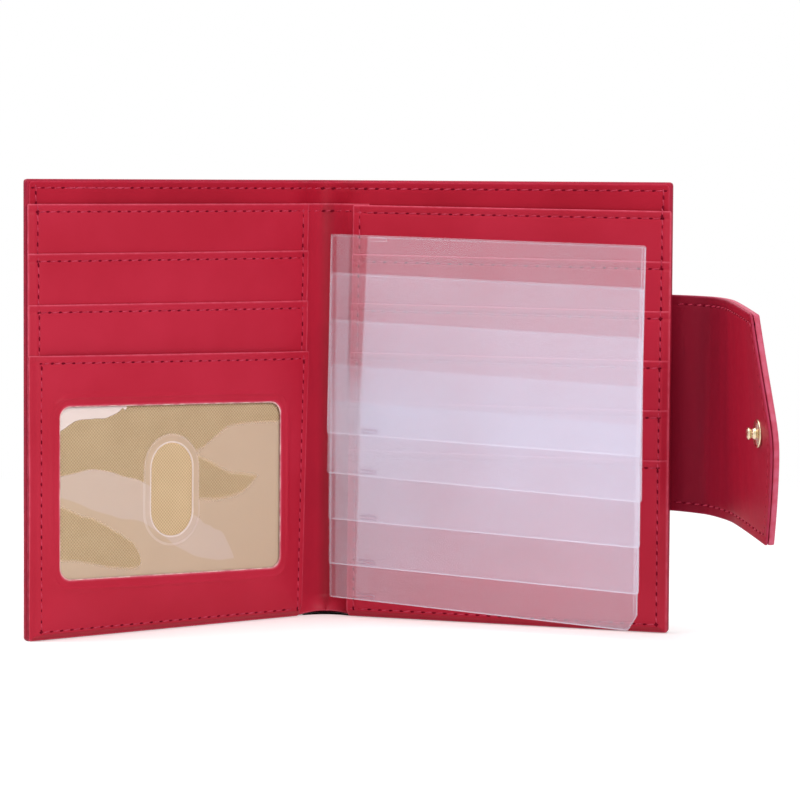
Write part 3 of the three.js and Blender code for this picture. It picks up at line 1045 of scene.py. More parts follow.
@dataclass(frozen=True)
class WindowFinish:
    """Clear film with a dark veil over the cloth behind it, partly the film's own tint and partly painted
    shade, and painted reflections: pale patches and pale highlight lines round the thumb hole.

    The patches are measured from the window's outer lower corner, across and up.
    """

    name: str
    tint: Colour
    shine: Colour
    veil: float
    outer: float
    foot: float
    thumb: RoundBox
    soft: Colour
    glare: Colour
    patch: float = 0.33
    glare_veil: float = 0.5
    trace: float = 0.125
    thumb_band: Pair = (2.0, 2.7)
    thumb_lines: Stops = ((0.1, 0.1), (2.5, 0.05))
    thumb_line_width: float = 0.5
    inner_start: Pair = (46.0, 50.0)
    upper_edge: Stops = (
        (0, 42.1), (5.3, 44.9), (12, 45.6), (16.9, 45.9), (21.7, 48.2), (24, 52), (40, 79))
    middle_top: Stops = (
        (0, 29.5), (7, 30.6), (12.6, 31.2), (21.2, 29.3), (29.9, 26.7), (40, 21.5), (50, 15.5),
        (54.1, 13.1), (58.6, 10.6), (61.9, 4.5), (64, 0))
    middle_foot: Stops = (
        (0, 23.7), (9.7, 20.4), (19.8, 17.3), (29.9, 15.2), (38.6, 9.8), (45.8, 5.8), (54.7, 3.6), (62, 3.6))
    inner_top: Stops = (
        (46, 35), (49, 36), (52, 37.5), (59, 42), (66, 43.2), (79, 43.5))
    leaf_top: Stops = (
        (46, 34.5), (49.7, 33.7), (55, 31.5), (60, 29.1), (66, 28.4), (70.5, 27.6), (74, 26.5))
    leaf_foot: Stops = (
        (46, 21.6), (49.7, 21.6), (57.4, 21.4), (65.2, 23.1), (68.5, 25.5), (70.5, 27.6), (74, 30))
    dusk_top: Stops = (
        (0, 21.1), (6.9, 18.4), (12.5, 16.8), (18, 14.1), (22.5, 11.7), (26.1, 9.3), (28.3, 5.5), (30, 0))
    dusk_foot: Stops = (
        (0, 5.7), (6.9, 5.2), (15.3, 3.6), (20.8, 2.7), (26.9, 2.6), (28.5, 4), (32, 9))

    def _thumb_distance(self, reach: Value, z: Value) -> Value:
        """How far places lie outside the thumb hole.

        Args:
            reach, z: The places on the flat map.

        Returns:
            The distance in millimetres, below zero in the hole.
        """
        box = self.thumb
        wide = ((reach - box.reach).size() - (box.width / 2 - box.radius)).most(0.0)
        high = ((z - box.z).size() - (box.height / 2 - box.radius)).most(0.0)
        return (wide * wide + high * high).power(0.5) - box.radius

    def make(self) -> Material:
        """The material."""
        shader = Shader(self.name)
        reach, z = shader.flat()
        across, up = self.outer - reach, z - self.foot

        def below(edge: Stops, blur: float) -> Value:
            """1 below an edge and 0 above it, with a blur."""
            return (shader.curve(across, edge) - up).eased(-blur, blur)

        def above(edge: Stops, blur: float) -> Value:
            """1 above an edge and 0 below it, with a blur."""
            return (up - shader.curve(across, edge)).eased(-blur, blur)

        # The patches below are painted reflections on the film: glare at the top, shine in a middle band,
        # soft patches inside and low down, and highlight lines round the thumb hole.
        upper = above(self.upper_edge, 0.25)
        middle = below(self.middle_top, 0.3) * above(self.middle_foot, 0.3)
        leaf = below(self.leaf_top, 0.8) * above(self.leaf_foot, 0.8)
        inner = across.eased(*self.inner_start) * below(self.inner_top, 0.6) * (1 - leaf)
        dusk = below(self.dusk_top, 0.6) * above(self.dusk_foot, 0.6)
        low = below(self.middle_top, 0.3) * (1 - dusk)
        off = self._thumb_distance(reach, z)
        soft = inner.most(low).most(1 - off.eased(*self.thumb_band))
        pale = shader.mixed(soft.eased(0, self.trace), linear(*self.tint), linear(*self.soft))
        with_painted_shine = shader.mixed(middle, pale, linear(*self.shine))
        # Painted highlights along the thumb hole's rim.
        first, second = (off.line(at, self.thumb_line_width) * veil for at, veil in self.thumb_lines)
        lip = first + second
        glare = upper.most(lip.eased(0, self.trace))
        return shader.surface({
            "Base Color": shader.mixed(glare, with_painted_shine, linear(*self.glare)),
            "Roughness": 0.16 + shader.noise(14) * 0.08,
            "Specular IOR Level": 0.4,
            "Alpha": self.veil + (soft.most(middle) * self.patch).most(upper * self.glare_veil) + lip,
        })


@dataclass(frozen=True)
class GoldFinish:
    """Pale gold plate with faint turning marks."""

    name: str
    colour: Colour
    roughness: float = 0.2
    mark: float = 0.5

    def make(self) -> Material:
        """The material."""
        shader = Shader(self.name)
        marks = shader.noise(self.mark, 3)
        return shader.surface({
            "Base Color": linear(*self.colour),
            "Metallic": 1.0,
            "Roughness": self.roughness + marks * 0.16 - 0.05,
            "Normal": shader.bump(marks, 0.08, 0.05),
        })


@dataclass(frozen=True)
class PlainFinish:
    """Thread, the painted shade of a needle hole, a cut edge or card: one colour with a cloudy tone."""

    name: str
    colour: Colour
    deep: Colour
    roughness: float
    gloss: float
    cloud: float

    def make(self) -> Material:
        """The material."""
        shader = Shader(self.name)
        tone = shader.noise(self.cloud, 3)
        return shader.surface({
            "Base Color": shader.mixed(tone.firm(), linear(*self.deep), linear(*self.colour)),
            "Roughness": self.roughness + tone * 0.1,
            "Specular IOR Level": self.gloss,
        })


class Finishes:
    """Every material of the wallet, made once."""

    def __init__(self) -> None:
        """Makes the materials."""
        # The lighter edge colours here are partly rubbed wear and partly a painted highlight on the rolled
        # edges.
        self.leather = LeatherFinish(
            "crimson_leather", (189, 37, 61), (182, 31, 54), (226, 96, 120)).make()
        # The cover's darker edge colour is painted shade on its end face.
        self.cover = LeatherFinish(
            "cover_leather", (189, 37, 61), (180, 31, 54), (132, 22, 54), wear=0.6).make()
        self.lining = LeatherFinish(
            "facing_leather", (178, 26, 50), (166, 20, 43), (196, 52, 78), roughness=0.52, gloss=0.14).make()
        self.tab_edge = LeatherFinish(
            "tab_leather", (189, 37, 61), (178, 30, 53), (206, 96, 122), wear=1.0).make()
        # Painted shade: the tab's facing is darker towards its root, where shade falls.
        self.tab_facing = LeatherFinish(
            "tab_facing", (168, 20, 48), (124, 17, 39), (170, 52, 84), streak=7.0, fade=(4.0, 44.0)).make()
        # Painted shade: the trough darkens towards the middle of the spine, standing in for the insert's
        # shadow.
        self.trough = LeatherFinish(
            "trough_leather", (192, 39, 63), (160, 29, 48), (226, 96, 120), fade=(-10.9, -6.4)).make()
        self.khaki = WeaveFinish("khaki_weave", (231, 203, 163), (178, 150, 112)).make()
        # The window film's colours are a dark veil that is partly painted shade, and painted reflections.
        self.window = WindowFinish(
            "window_film", (89, 80, 70), (222, 205, 197), 0.07, WINDOW_BOX.reach + WINDOW_BOX.width / 2,
            WINDOW_BOX.z - WINDOW_BOX.height / 2, THUMB_BOX, (215, 194, 174), (246, 234, 232)).make()
        self.weld = WeldFinish("film_weld", (252, 242, 252), 0.17).make()
        # The stops' mauve colour is painted shade in their pressed lines.
        self.stop = WeldFinish("film_stop", (176, 120, 150), 0.3).make()
        self.cut_edge = PlainFinish("cut_edge", (232, 196, 190), (200, 120, 130), 0.6, 0.2, 3.0).make()
        self.gold = GoldFinish("pale_gold", (218, 202, 170)).make()
        self.thread = PlainFinish("crimson_thread", (204, 66, 94), (176, 32, 62), 0.4, 0.25, 1.2).make()
        # The needle holes' dark colour is painted shade: flat dark pits on the leather stand for the shade
        # in the holes.
        self.hole = PlainFinish("needle_hole", (130, 12, 38), (102, 8, 30), 0.8, 0.05, 1.0).make()
        self.card = PlainFinish("stiffener_card", (150, 132, 110), (130, 112, 92), 0.85, 0.1, 2.0).make()


# How pieces are carried

@dataclass(frozen=True)
class Ride:
    """A piece that moves with one body."""

    body: str

    def take(self, piece: bpy.types.Object) -> None:
        """Puts the piece on the body."""
        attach(piece, self.body)


@dataclass(frozen=True)
class Bend:
    """A piece that lies across two bodies, from one place to another, and is carried by neither."""

    first: str
    second: str
    start: Vector
    end: Vector

    def take(self, piece: bpy.types.Object) -> None:
        """Bakes the piece's placement into its mesh, leaving it on no body."""
        tuple(self.start)
        tuple(self.end)
        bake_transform(piece)


Hold = Ride | Bend


def fit(piece: bpy.types.Object, hold: Hold, slot: Slot, *nodes: str) -> None:
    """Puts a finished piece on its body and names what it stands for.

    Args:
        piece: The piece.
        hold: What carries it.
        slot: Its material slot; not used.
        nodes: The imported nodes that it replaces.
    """
    hold.take(piece)
    if nodes:
        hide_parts(*nodes)
    LOG.info("%s: %d faces for %s", piece.name, len(piece.data.polygons), ", ".join(nodes) or "trim")


def fit_film(piece: bpy.types.Object, hold: Hold, *nodes: str) -> None:
    """Fits a piece of clear film, which casts no shadow."""
    piece.visible_shadow = False
    fit(piece, hold, Slot.FILM, *nodes)


# Stitches

class StitchTree(Tree):
    """Geometry nodes that sew slanted stitches and their needle holes along rows of points."""

    INPUTS = {"Pitch": LONG_STITCH, "Thread length": 2.5, "Thread gauge": 0.42, "Slant": 8.0, "Hole": 0.64}
    SEED = 7
    UNEVEN = (0.6, 1.4)
    THREAD_FACES = (8, 5)
    THREAD_HEIGHT = 0.8
    HOLE_FACES = (7, 4)
    HOLE_LENGTH = 2.1
    HOLE_DEPTH = 0.3

    def __init__(self, finishes: Finishes) -> None:
        """Builds the tree.

        Args:
            finishes: Gives the thread's and the holes' materials.
        """
        super().__init__(bpy.data.node_groups.new("stitch_rows", "GeometryNodeTree"))
        face = self.nodes.interface
        face.new_socket("Rows", in_out="INPUT", socket_type="NodeSocketGeometry")
        for name in self.INPUTS:
            face.new_socket(name, in_out="INPUT", socket_type="NodeSocketFloat")
        face.new_socket("Stitches", in_out="OUTPUT", socket_type="NodeSocketGeometry")
        given = self.node("NodeGroupInput")
        rows, pitch, length, gauge, slant, hole = [Value(self, socket) for socket in given.outputs[:6]]
        curve = self.value("GeometryNodeMeshToCurve", None, {"Mesh": rows})
        points = self.value("GeometryNodeResampleCurve", {"mode": "LENGTH"},
                            {"Curve": curve, "Length": pitch})
        way = self.value("GeometryNodeInputTangent")
        turn = self._slanted(way, slant)
        thread = self.value("ShaderNodeCombineXYZ", None,
                            {0: length, 1: gauge, 2: gauge * self.THREAD_HEIGHT})
        sewn = self._copies(points, self.THREAD_FACES, turn, thread, finishes.thread)
        ahead = self.value("ShaderNodeVectorMath", {"operation": "SCALE"}, {0: way, "Scale": pitch * 0.5})
        between = self.value("GeometryNodeSetPosition", None, {"Geometry": points, "Offset": ahead})
        # The holes are flat pits whose dark finish is painted shade.
        pit = self.value("ShaderNodeCombineXYZ", None,
                         {0: hole * self.HOLE_LENGTH, 1: hole, 2: hole * self.HOLE_DEPTH})
        pricked = self._copies(between, self.HOLE_FACES, turn, pit, finishes.hole)
        both = self.node("GeometryNodeJoinGeometry")
        for part in (sewn, pricked):
            self.nodes.links.new(part.socket, both.inputs[0])
        self.node("NodeGroupOutput", None, {0: Value(self, both.outputs[0])})

    def _slanted(self, way: Value, slant: Value) -> Value:
        """The turn of each stitch: upright on its face, along its row and a little aslant.

        Args:
            way: The way of the row.
            slant: The mean slant.

        Returns:
            The rotation.
        """
        lift = self.value("GeometryNodeInputNamedAttribute", {"data_type": "FLOAT_VECTOR"}, {"Name": "lift"})
        upright = self.value("FunctionNodeAlignRotationToVector", {"axis": "Z"}, {"Vector": lift})
        along = self.value("FunctionNodeAlignRotationToVector", {"axis": "X", "pivot_axis": "Z"},
                           {"Rotation": upright, "Vector": way})
        least, most = self.UNEVEN
        uneven = self.value("FunctionNodeRandomValue", {"data_type": "FLOAT"},
                            {2: least, 3: most, "Seed": self.SEED}, 1)
        lean = self.value("FunctionNodeAxisAngleToRotation", None,
                          {"Axis": (0, 0, 1), "Angle": slant * uneven})
        return self.value("FunctionNodeRotateRotation", {"rotation_space": "LOCAL"},
                          {"Rotation": along, "Rotate By": lean})

    def _copies(self, points: Value, faces: tuple[int, int], turn: Value, size: Value,
                finish: Material) -> Value:
        """Copies of a small round body on points, as real mesh with a finish.

        Args:
            points: Where they go.
            faces: The body's faces round it and along it.
            turn: The rotation of each copy.
            size: Its sizes.
            finish: Its material.

        Returns:
            The mesh.
        """
        body = self.value("GeometryNodeMeshUVSphere", None,
                          {"Segments": faces[0], "Rings": faces[1], "Radius": 0.5})
        copies = self.value("GeometryNodeInstanceOnPoints", None,
                            {"Points": points, "Instance": body, "Rotation": turn, "Scale": size})
        real = self.value("GeometryNodeRealizeInstances", None, {"Geometry": copies})
        even = self.value("GeometryNodeSetShadeSmooth", None, {"Geometry": real})
        return self.value("GeometryNodeSetMaterial", None, {"Geometry": even, "Material": finish})


Rows = list[tuple[Array, Array]]


@dataclass
class Seams:
    """Rows of stitches, kept for each thing that carries them and sewn at the end."""

    tree: StitchTree
    thread_share: float = 0.72
    rows: dict[tuple[str, float], tuple[Hold, Rows]] = field(default_factory=dict)

    def add(self, group: str, hold: Hold, path: Path, reach: Array, z: Array, depth: Field,
            outside: bool = False, pitch: float = LONG_STITCH) -> None:
        """Adds one row.

        Args:
            group: The name of the rows that become one piece.
            hold: What carries them.
            path: What the row lies along.
            reach, z: The row's places.
            depth: The depth of the face that is sewn.
            outside: Whether that face looks away from the reader.
            pitch: The length of one stitch with its gap.
        """
        facing = path.facing(reach, z) * (-1 if outside else 1)
        points = path.place(reach, depth(reach, z), z)
        self.rows.setdefault((group, pitch), (hold, []))[1].append((points, facing))

    def sew(self) -> None:
        """Makes one mesh of stitches for each group of rows."""
        for (group, pitch), (hold, rows) in self.rows.items():
            piece = put(f"stitches_{group}_{round(pitch * 10)}", self._guide(group, rows))
            sewing = piece.modifiers.new("stitches", "NODES")
            sewing.node_group = self.tree.nodes
            sizes = {**StitchTree.INPUTS, "Pitch": pitch, "Thread length": pitch * self.thread_share}
            for socket in self.tree.nodes.interface.items_tree:
                if socket.name in sizes:
                    value = sizes[socket.name]
                    sewing[socket.identifier] = math.radians(value) if socket.name == "Slant" else value * MM
            evaluated = piece.evaluated_get(bpy.context.evaluated_depsgraph_get())
            sewn = bpy.data.meshes.new_from_object(evaluated)
            piece.modifiers.clear()
            piece.data = sewn
            fit(piece, hold, Slot.LEATHER)

    @staticmethod
    def _guide(group: str, rows: Rows) -> bpy.types.Mesh:
        """The lines that stitches follow, with the way that each point faces.

        Args:
            group: The name of the rows.
            rows: The places and the facings of each row.

        Returns:
            The mesh of edges.
        """
        mesh = bpy.data.meshes.new(group)
        starts = np.cumsum([0, *[len(points) for points, _ in rows]])
        edges = [(int(start) + step, int(start) + step + 1)
                 for start, (points, _) in zip(starts, rows) for step in range(len(points) - 1)]
        mesh.from_pydata(np.concatenate([points for points, _ in rows]).tolist(), edges, [])
        facings = np.concatenate([facing for _, facing in rows]).astype(np.float32)
        mesh.attributes.new("lift", "FLOAT_VECTOR", "POINT").data.foreach_set("vector", facings.ravel())
        return mesh


# Wings

def bend_at_fold(side: Side, path: PlanPath, reach: float = 5.0) -> Bend:
    """How a layer that crosses a fold bends."""
    return Bend(side.wing, "spine", path.spot(reach, 0, 0), path.spot(-reach, 0, 0))


@dataclass
class Shell:
    """One half of the outer cover, of its facing and of the spine's trough, which bend at the fold."""

    finishes: Finishes
    seams: Seams
    side: Side
    fold: float = 4.0
    bow: float = 7.5
    flap: Pair = (1.9, 2.4)
    flap_gap: float = 0.05
    facing_spine: Pair = (0.2, 0.5)
    hem_pull: float = 0.12
    crease: float = 0.22
    crease_reach: float = 7.6
    crease_width: float = 0.9
    trough_bow: float = 7.1
    trough_flare: float = 3.6
    trough_arch: float = 0.9
    trough_back: Pair = (1.22, 0.85)
    trough_front: float = 1.43
    trough_low: float = 7.0
    trough_low_grid: float = 0.7
    tuck: float = 5.0
    tuck_grid: float = 0.5
    seam_inset: float = 3.6
    tacked: Pair = (66.0, 83.0)

    def __post_init__(self) -> None:
        """Lays out the cover's line, and how the half bends."""
        self.path = ShellPath(self.side, self.bow, 0.0, 0.0)
        self.hold = bend_at_fold(self.side, self.path)
        self.group = f"shell_{self.side.label}"

    def build(self) -> None:
        """Makes the half and sews it."""
        self._cover()
        face = self._facing()
        self._trough()
        self._sew(face)

    def _depth(self, wing_depth: float, spine_depth: float) -> Field:
        """A depth that changes from the wing's to the spine's at the fold."""
        step = wing_depth - spine_depth
        return lambda reach, z: spine_depth + step * smooth(-self.fold, self.fold, reach)

    def _columns(self, path: ShellPath, end: float, pitch: float) -> Array:
        """Grid lines from the middle of the spine to an end, with their own pitch past the fold."""
        return np.unique([*lines(path.middle, self.fold, SPINE_GRID), *lines(self.fold, end, pitch)])

    def _cover(self) -> None:
        """Makes the outer leather."""
        back = self._depth(LINING_BACK, self.facing_spine[0])

        def inner(reach: Array, z: Array) -> Array:
            """The inner face, thicker where the edge is turned over."""
            edge = np.minimum.reduce([WING_REACH - reach, z, HEIGHT - z])
            return (back(reach, z) - self.flap_gap) * (1 - smooth(*self.flap, edge))

        cover = Slab(self._columns(self.path, WING_REACH, GRID), lines(0, HEIGHT, GRID), level(-COVER_T),
                     inner, roll=0.7, rim=1.0, corner=1.1, cut_low=True)
        wing = self.side.label
        fit(cover.solid(self.path).piece(f"cover_{wing}", self.finishes.cover), self.hold, Slot.LEATHER,
            f"{wing}_cover", "spine_cover")

    def _facing(self) -> Field:
        """Makes the facing.

        Returns:
            The depth of its front.
        """
        back = self._depth(LINING_BACK, self.facing_spine[0])
        front = self._depth(LINING_FRONT, self.facing_spine[1])
        crease = self.crease if self.side is Side.FRONT else 0.0

        def face(reach: Array, z: Array) -> Array:
            """The front, pulled in along the hem and creased beside the front fold."""
            pulled = front(reach, z) - self.hem_pull * hump(z - HEM_Z, SEAM_WIDTH)
            return pulled - crease * hump(reach - self.crease_reach, self.crease_width)

        facing = Slab(self._columns(self.path, WING_REACH - LINING_INSET, GRID),
                      lines(LINING_INSET, HEIGHT - LINING_INSET, GRID, [HEM_Z]), back, face,
                      roll=0.2, corner=1.5, cut_low=True)
        wing = self.side.label
        fit(facing.solid(self.path).piece(f"facing_{wing}", self.finishes.lining), self.hold, Slot.LINING,
            f"{wing}_lining", "spine_lining")
        return face

    def _trough(self) -> None:
        """Makes the bill pocket's front wall across the spine, and sews its top."""
        path = ShellPath(self.side, self.trough_bow, self.trough_arch, self.trough_flare)
        seam = BILL_TOP - STITCH_DROP
        low_rows = lines(PANEL_FOOT, self.trough_low, self.trough_low_grid)
        rows = np.unique([*low_rows, *lines(self.trough_low, BILL_TOP, GRID, [seam])])
        front = level(self.trough_front)
        trough = Slab(self._columns(path, self.tuck, self.tuck_grid), rows, self._depth(*self.trough_back),
                      front, roll=0.25, cut_low=True)
        fit(trough.solid(path).piece(f"spine_trough_{self.side.label}", self.finishes.trough), self.hold,
            Slot.LEATHER, "spine_panel")
        edge = np.linspace(path.middle, 1.0, 30)
        self.seams.add(self.group, self.hold, path, edge, np.full_like(edge, seam), front,
                       pitch=SHORT_STITCH)

    def _sew(self, face: Field) -> None:
        """Sews the hem, and the outside of the cover round three sides.

        Args:
            face: The depth of the facing's front.
        """
        outer = WING_REACH - self.seam_inset
        run = np.concatenate([np.linspace(self.path.middle, self.fold, 40),
                              np.linspace(self.fold, outer, 60)[1:]])
        hem = [run]
        if self.side is Side.FRONT:
            hem.append(np.linspace(*self.tacked, 20))
        for reach in hem:
            self.seams.add(self.group, self.hold, self.path, reach, np.full_like(reach, HEM_Z), face)
        back = level(-COVER_T)
        foot = HEIGHT - HEM_Z
        for z in (HEM_Z, foot):
            self.seams.add(self.group, self.hold, self.path, run, np.full_like(run, z), back, True)
        drop = np.linspace(foot, HEM_Z, 60)
        self.seams.add(self.group, self.hold, self.path, np.full_like(drop, outer), drop, back, True,
                       SHORT_STITCH)


@dataclass
class Pockets:
    """How a wing's layers lie: pressed at the seams, eased between them and gaping at the top."""

    pressed: float = 0.58
    ease: float = 12.0
    gape: float = 0.7
    gape_foot: float = 60.0
    lip: float = 0.1
    lip_width: float = 1.6
    pillow: float = 0.12
    pillow_drop: float = 8.0
    pillow_width: float = 4.0
    groove: float = 0.14
    taper: float = 2.2
    taper_share: float = 0.65

    def settle(self, nominal: float) -> Field:
        """The depth of a layer's face, from its depth in a loose stack."""
        def depth(reach: Array, z: Array) -> Array:
            """The depth at places."""
            inside = np.minimum.reduce([reach, PANEL_REACH - reach, z - PANEL_FOOT])
            loose = self.pressed + (1 - self.pressed) * smooth(0, self.ease, inside)
            bellied = np.sin(np.pi * np.clip(reach / PANEL_REACH, 0, 1))
            open_share = bellied * smooth(self.gape_foot, BILL_TOP, z)
            made = BILL_FRONT + (nominal - BILL_FRONT) * loose + self.gape * open_share
            sewn_down = 1 - smooth(0, self.taper, np.minimum(PANEL_REACH - reach, z - PANEL_FOOT))
            return made + (LINING_FRONT - made) * self.taper_share * sewn_down
        return depth

    def front(self, nominal: float, top: float, columns: Iterable[float], rows: Iterable[float]) -> Field:
        """A pocket's front face, with its edge lifted and its seams pulled in.

        Args:
            nominal: Its depth in a loose stack.
            top: The height of its edge.
            columns: The reaches of its upright seams.
            rows: The heights of its level seams.

        Returns:
            The depth of the face.
        """
        settled = self.settle(nominal)

        def depth(reach: Array, z: Array) -> Array:
            """The depth at places."""
            made = (settled(reach, z) + self.lip * hump(top - z, self.lip_width)
                    + self.pillow * hump(top - self.pillow_drop - z, self.pillow_width))
            for column in columns:
                made = made - self.groove * hump(reach - column, SEAM_WIDTH)
            for row in rows:
                made = made - self.groove * hump(z - row, SEAM_WIDTH)
            return made
        return depth


@dataclass(frozen=True)
class PocketSpec:
    """One pocket of a wing: its name, the node that it replaces, its edge, foot and depths."""

    name: str
    node: str
    top: float
    foot: float
    back: float
    front: float


@dataclass(frozen=True)
class PocketSteps:
    """The heights of a wing's bill pocket and of its card pockets, which are stepped."""

    side: Side
    count: int
    bill_top: float
    first_top: float
    pitch: float
    depth: float = 46.0
    least_foot: float = 6.0

    def specs(self) -> list[PocketSpec]:
        """The pockets from the back one forwards. One that ends near the foot goes down to it."""
        wing = self.side.label
        made = [PocketSpec(f"{wing}_bill_wall", f"{wing}_bill_panel", self.bill_top, PANEL_FOOT,
                           BILL_BACK, BILL_FRONT)]
        for index in range(self.count):
            back = STRIP_BACK + index * STRIP_STEP
            top = self.first_top - index * self.pitch
            foot = top - self.depth
            made.append(PocketSpec(f"{wing}_pocket_{index + 1}", f"{wing}_card_strip_{index + 1}", top,
                                   foot if foot > self.least_foot else PANEL_FOOT, back, back + STRIP_T))
        return made


@dataclass
class Wing:
    """The pockets of one wing, sewn to it round three sides."""

    finishes: Finishes
    seams: Seams
    path: PocketPath
    body: str
    specs: list[PocketSpec]
    inner_seam: float
    outer_seam: float
    foot_seam: float = 2.6
    row_gap: float = 1.7
    foot_gap: float = 1.5
    pockets: Pockets = field(default_factory=Pockets)

    def build(self) -> None:
        """Makes the pockets from the back one forwards, and sews them."""
        for spec in self.specs:
            self._pocket(spec)
        self._sew(self.specs)

    def face(self, spec: PocketSpec) -> Field:
        """The front face of a pocket."""
        return self.pockets.front(spec.front, spec.top, (self.inner_seam, self.outer_seam),
                                  (spec.top - STITCH_DROP, self.foot_seam))

    def _pocket(self, spec: PocketSpec) -> None:
        """Makes the leather of one pocket."""
        slab = Slab(lines(0, PANEL_REACH, GRID, (self.inner_seam, self.outer_seam)),
                    lines(spec.foot, spec.top, GRID, (spec.top - STITCH_DROP, self.foot_seam)),
                    self.pockets.settle(spec.back), self.face(spec), roll=0.28, corner=0.5)
        fit(slab.solid(self.path).piece(spec.name, self.finishes.leather), Ride(self.body), Slot.LEATHER,
            spec.node)

    def _row(self, reach: Array, z: Array, face: Field, pitch: float) -> None:
        """Sews one row on a face."""
        self.seams.add(self.body, Ride(self.body), self.path, reach, z, face, pitch=pitch)

    def _sew(self, specs: list[PocketSpec]) -> None:
        """Sews the pockets' edges, their foot and, through all of them, both sides.

        Args:
            specs: The pockets from the back one forwards.
        """
        def outermost(reach: Array, z: Array) -> Array:
            """The depth of the face that is in front at each place."""
            depth = np.full_like(reach, LINING_FRONT)
            for spec in specs:
                depth = np.where((z <= spec.top) & (z >= spec.foot), self.face(spec)(reach, z), depth)
            return depth

        edge = np.linspace(self.inner_seam, self.outer_seam - self.row_gap, 60)
        for spec in specs:
            self._row(edge, np.full_like(edge, spec.top - STITCH_DROP), self.face(spec), LONG_STITCH)
        self._row(edge, np.full_like(edge, self.foot_seam), outermost, LONG_STITCH)
        for column, top in ((self.inner_seam, specs[0].top - STITCH_DROP), (self.outer_seam, HEM_Z)):
            drop = np.linspace(top, self.foot_seam + self.foot_gap, 160)
            self._row(np.full_like(drop, column), drop, outermost, SHORT_STITCH)


@dataclass
class Window:
    """The identity window: a leather frame, a clear film with a thumb hole, and the woven lining."""

    finishes: Finishes
    wing: Wing
    spec: PocketSpec
    opening: RoundBox = WINDOW_BOX
    thumb: RoundBox = THUMB_BOX
    film: Pair = (4.05, 4.25)
    weave: Pair = (3.6, 3.85)
    film_margin: float = 4.5
    weave_margin: float = 6.0
    ridge: float = 2.5
    ridge_width: float = 0.4
    ridge_height: float = 0.28
    dip: float = 0.16
    lip: float = 0.3
    lip_tuck: float = 0.2
    lip_drop: float = 0.3
    thumb_rim: float = 0.25
    thumb_rim_edge: Pair = (2.2, 2.7)

    @property
    def hold(self) -> Ride:
        """What carries the window."""
        return Ride(self.wing.body)

    def build(self) -> None:
        """Makes the three layers and the opening's cut edge."""
        self._frame()
        self._lip()
        self._film()
        self._weave()

    def _frame(self) -> None:
        """The leather round the window, with a pressed line outside the opening."""
        face = self.wing.face(self.spec)

        def front(reach: Array, z: Array) -> Array:
            """The face with its pressed line and its dipped inner edge."""
            out = self.opening.distance(reach, z)
            pressed = self.ridge_height * hump(out - self.ridge, self.ridge_width)
            return face(reach, z) + pressed - self.dip * (1 - smooth(0, self.ridge, out))

        outline = rounded_outline(0, PANEL_REACH, self.spec.foot, self.spec.top, 0.5)
        ring = Ring(self.opening.outline(), outline, self.wing.pockets.settle(self.spec.back), front)
        fit(ring.solid(self.wing.path).piece(self.spec.name, self.finishes.leather), self.hold, Slot.LEATHER,
            self.spec.node)

    def _lip(self) -> None:
        """The pale cut edge that shows inside the opening."""
        face, back = self.wing.face(self.spec), self.wing.pockets.settle(self.spec.back)
        lip = Ring(self.opening.outline(-self.lip), self.opening.outline(self.lip_tuck), back,
                   lambda reach, z: face(reach, z) - self.lip_drop, roll=0.1, inner_steps=(0.0, 0.1, 0.2),
                   outer_steps=(0.1, 0.0), middle_steps=1)
        fit(lip.solid(self.wing.path).piece("window_lip", self.finishes.cut_edge), self.hold, Slot.LEATHER)

    def _film(self) -> None:
        """The clear film, with a thick rim round its thumb hole."""
        back, front = (self.wing.pockets.settle(depth) for depth in self.film)

        def wave(reach: Array, z: Array) -> Array:
            """The film's slight waves."""
            return 0.08 * np.sin(reach * 0.16 + z * 0.07) + 0.06 * np.sin(z * 0.21 - reach * 0.05)

        def rim(reach: Array, z: Array) -> Array:
            """The thicker rim."""
            return self.thumb_rim * (1 - smooth(*self.thumb_rim_edge, self.thumb.distance(reach, z)))

        ring = Ring(self.thumb.outline(), self.opening.outline(self.film_margin),
                    lambda reach, z: back(reach, z) + wave(reach, z),
                    lambda reach, z: front(reach, z) + wave(reach, z) + rim(reach, z),
                    roll=0.2, middle_steps=14)
        film = ring.solid(self.wing.path).piece("window_clear", self.finishes.window)
        fit_film(film, self.hold, "window_film")

    def _weave(self) -> None:
        """The khaki cloth, stretched flat behind the film."""
        back, front = (self.wing.pockets.settle(depth) for depth in self.weave)
        box = self.opening
        wide, high = box.width / 2 + self.weave_margin, box.height / 2 + self.weave_margin
        slab = Slab(lines(box.reach - wide, box.reach + wide, GRID), lines(box.z - high, box.z + high, GRID),
                    back, front, roll=0.12)
        cloth = slab.solid(self.wing.path).piece("window_weave", self.finishes.khaki)
        fit(cloth, self.hold, Slot.KHAKI, "window_lining")
        2 * wide * MM
        2 * high * MM


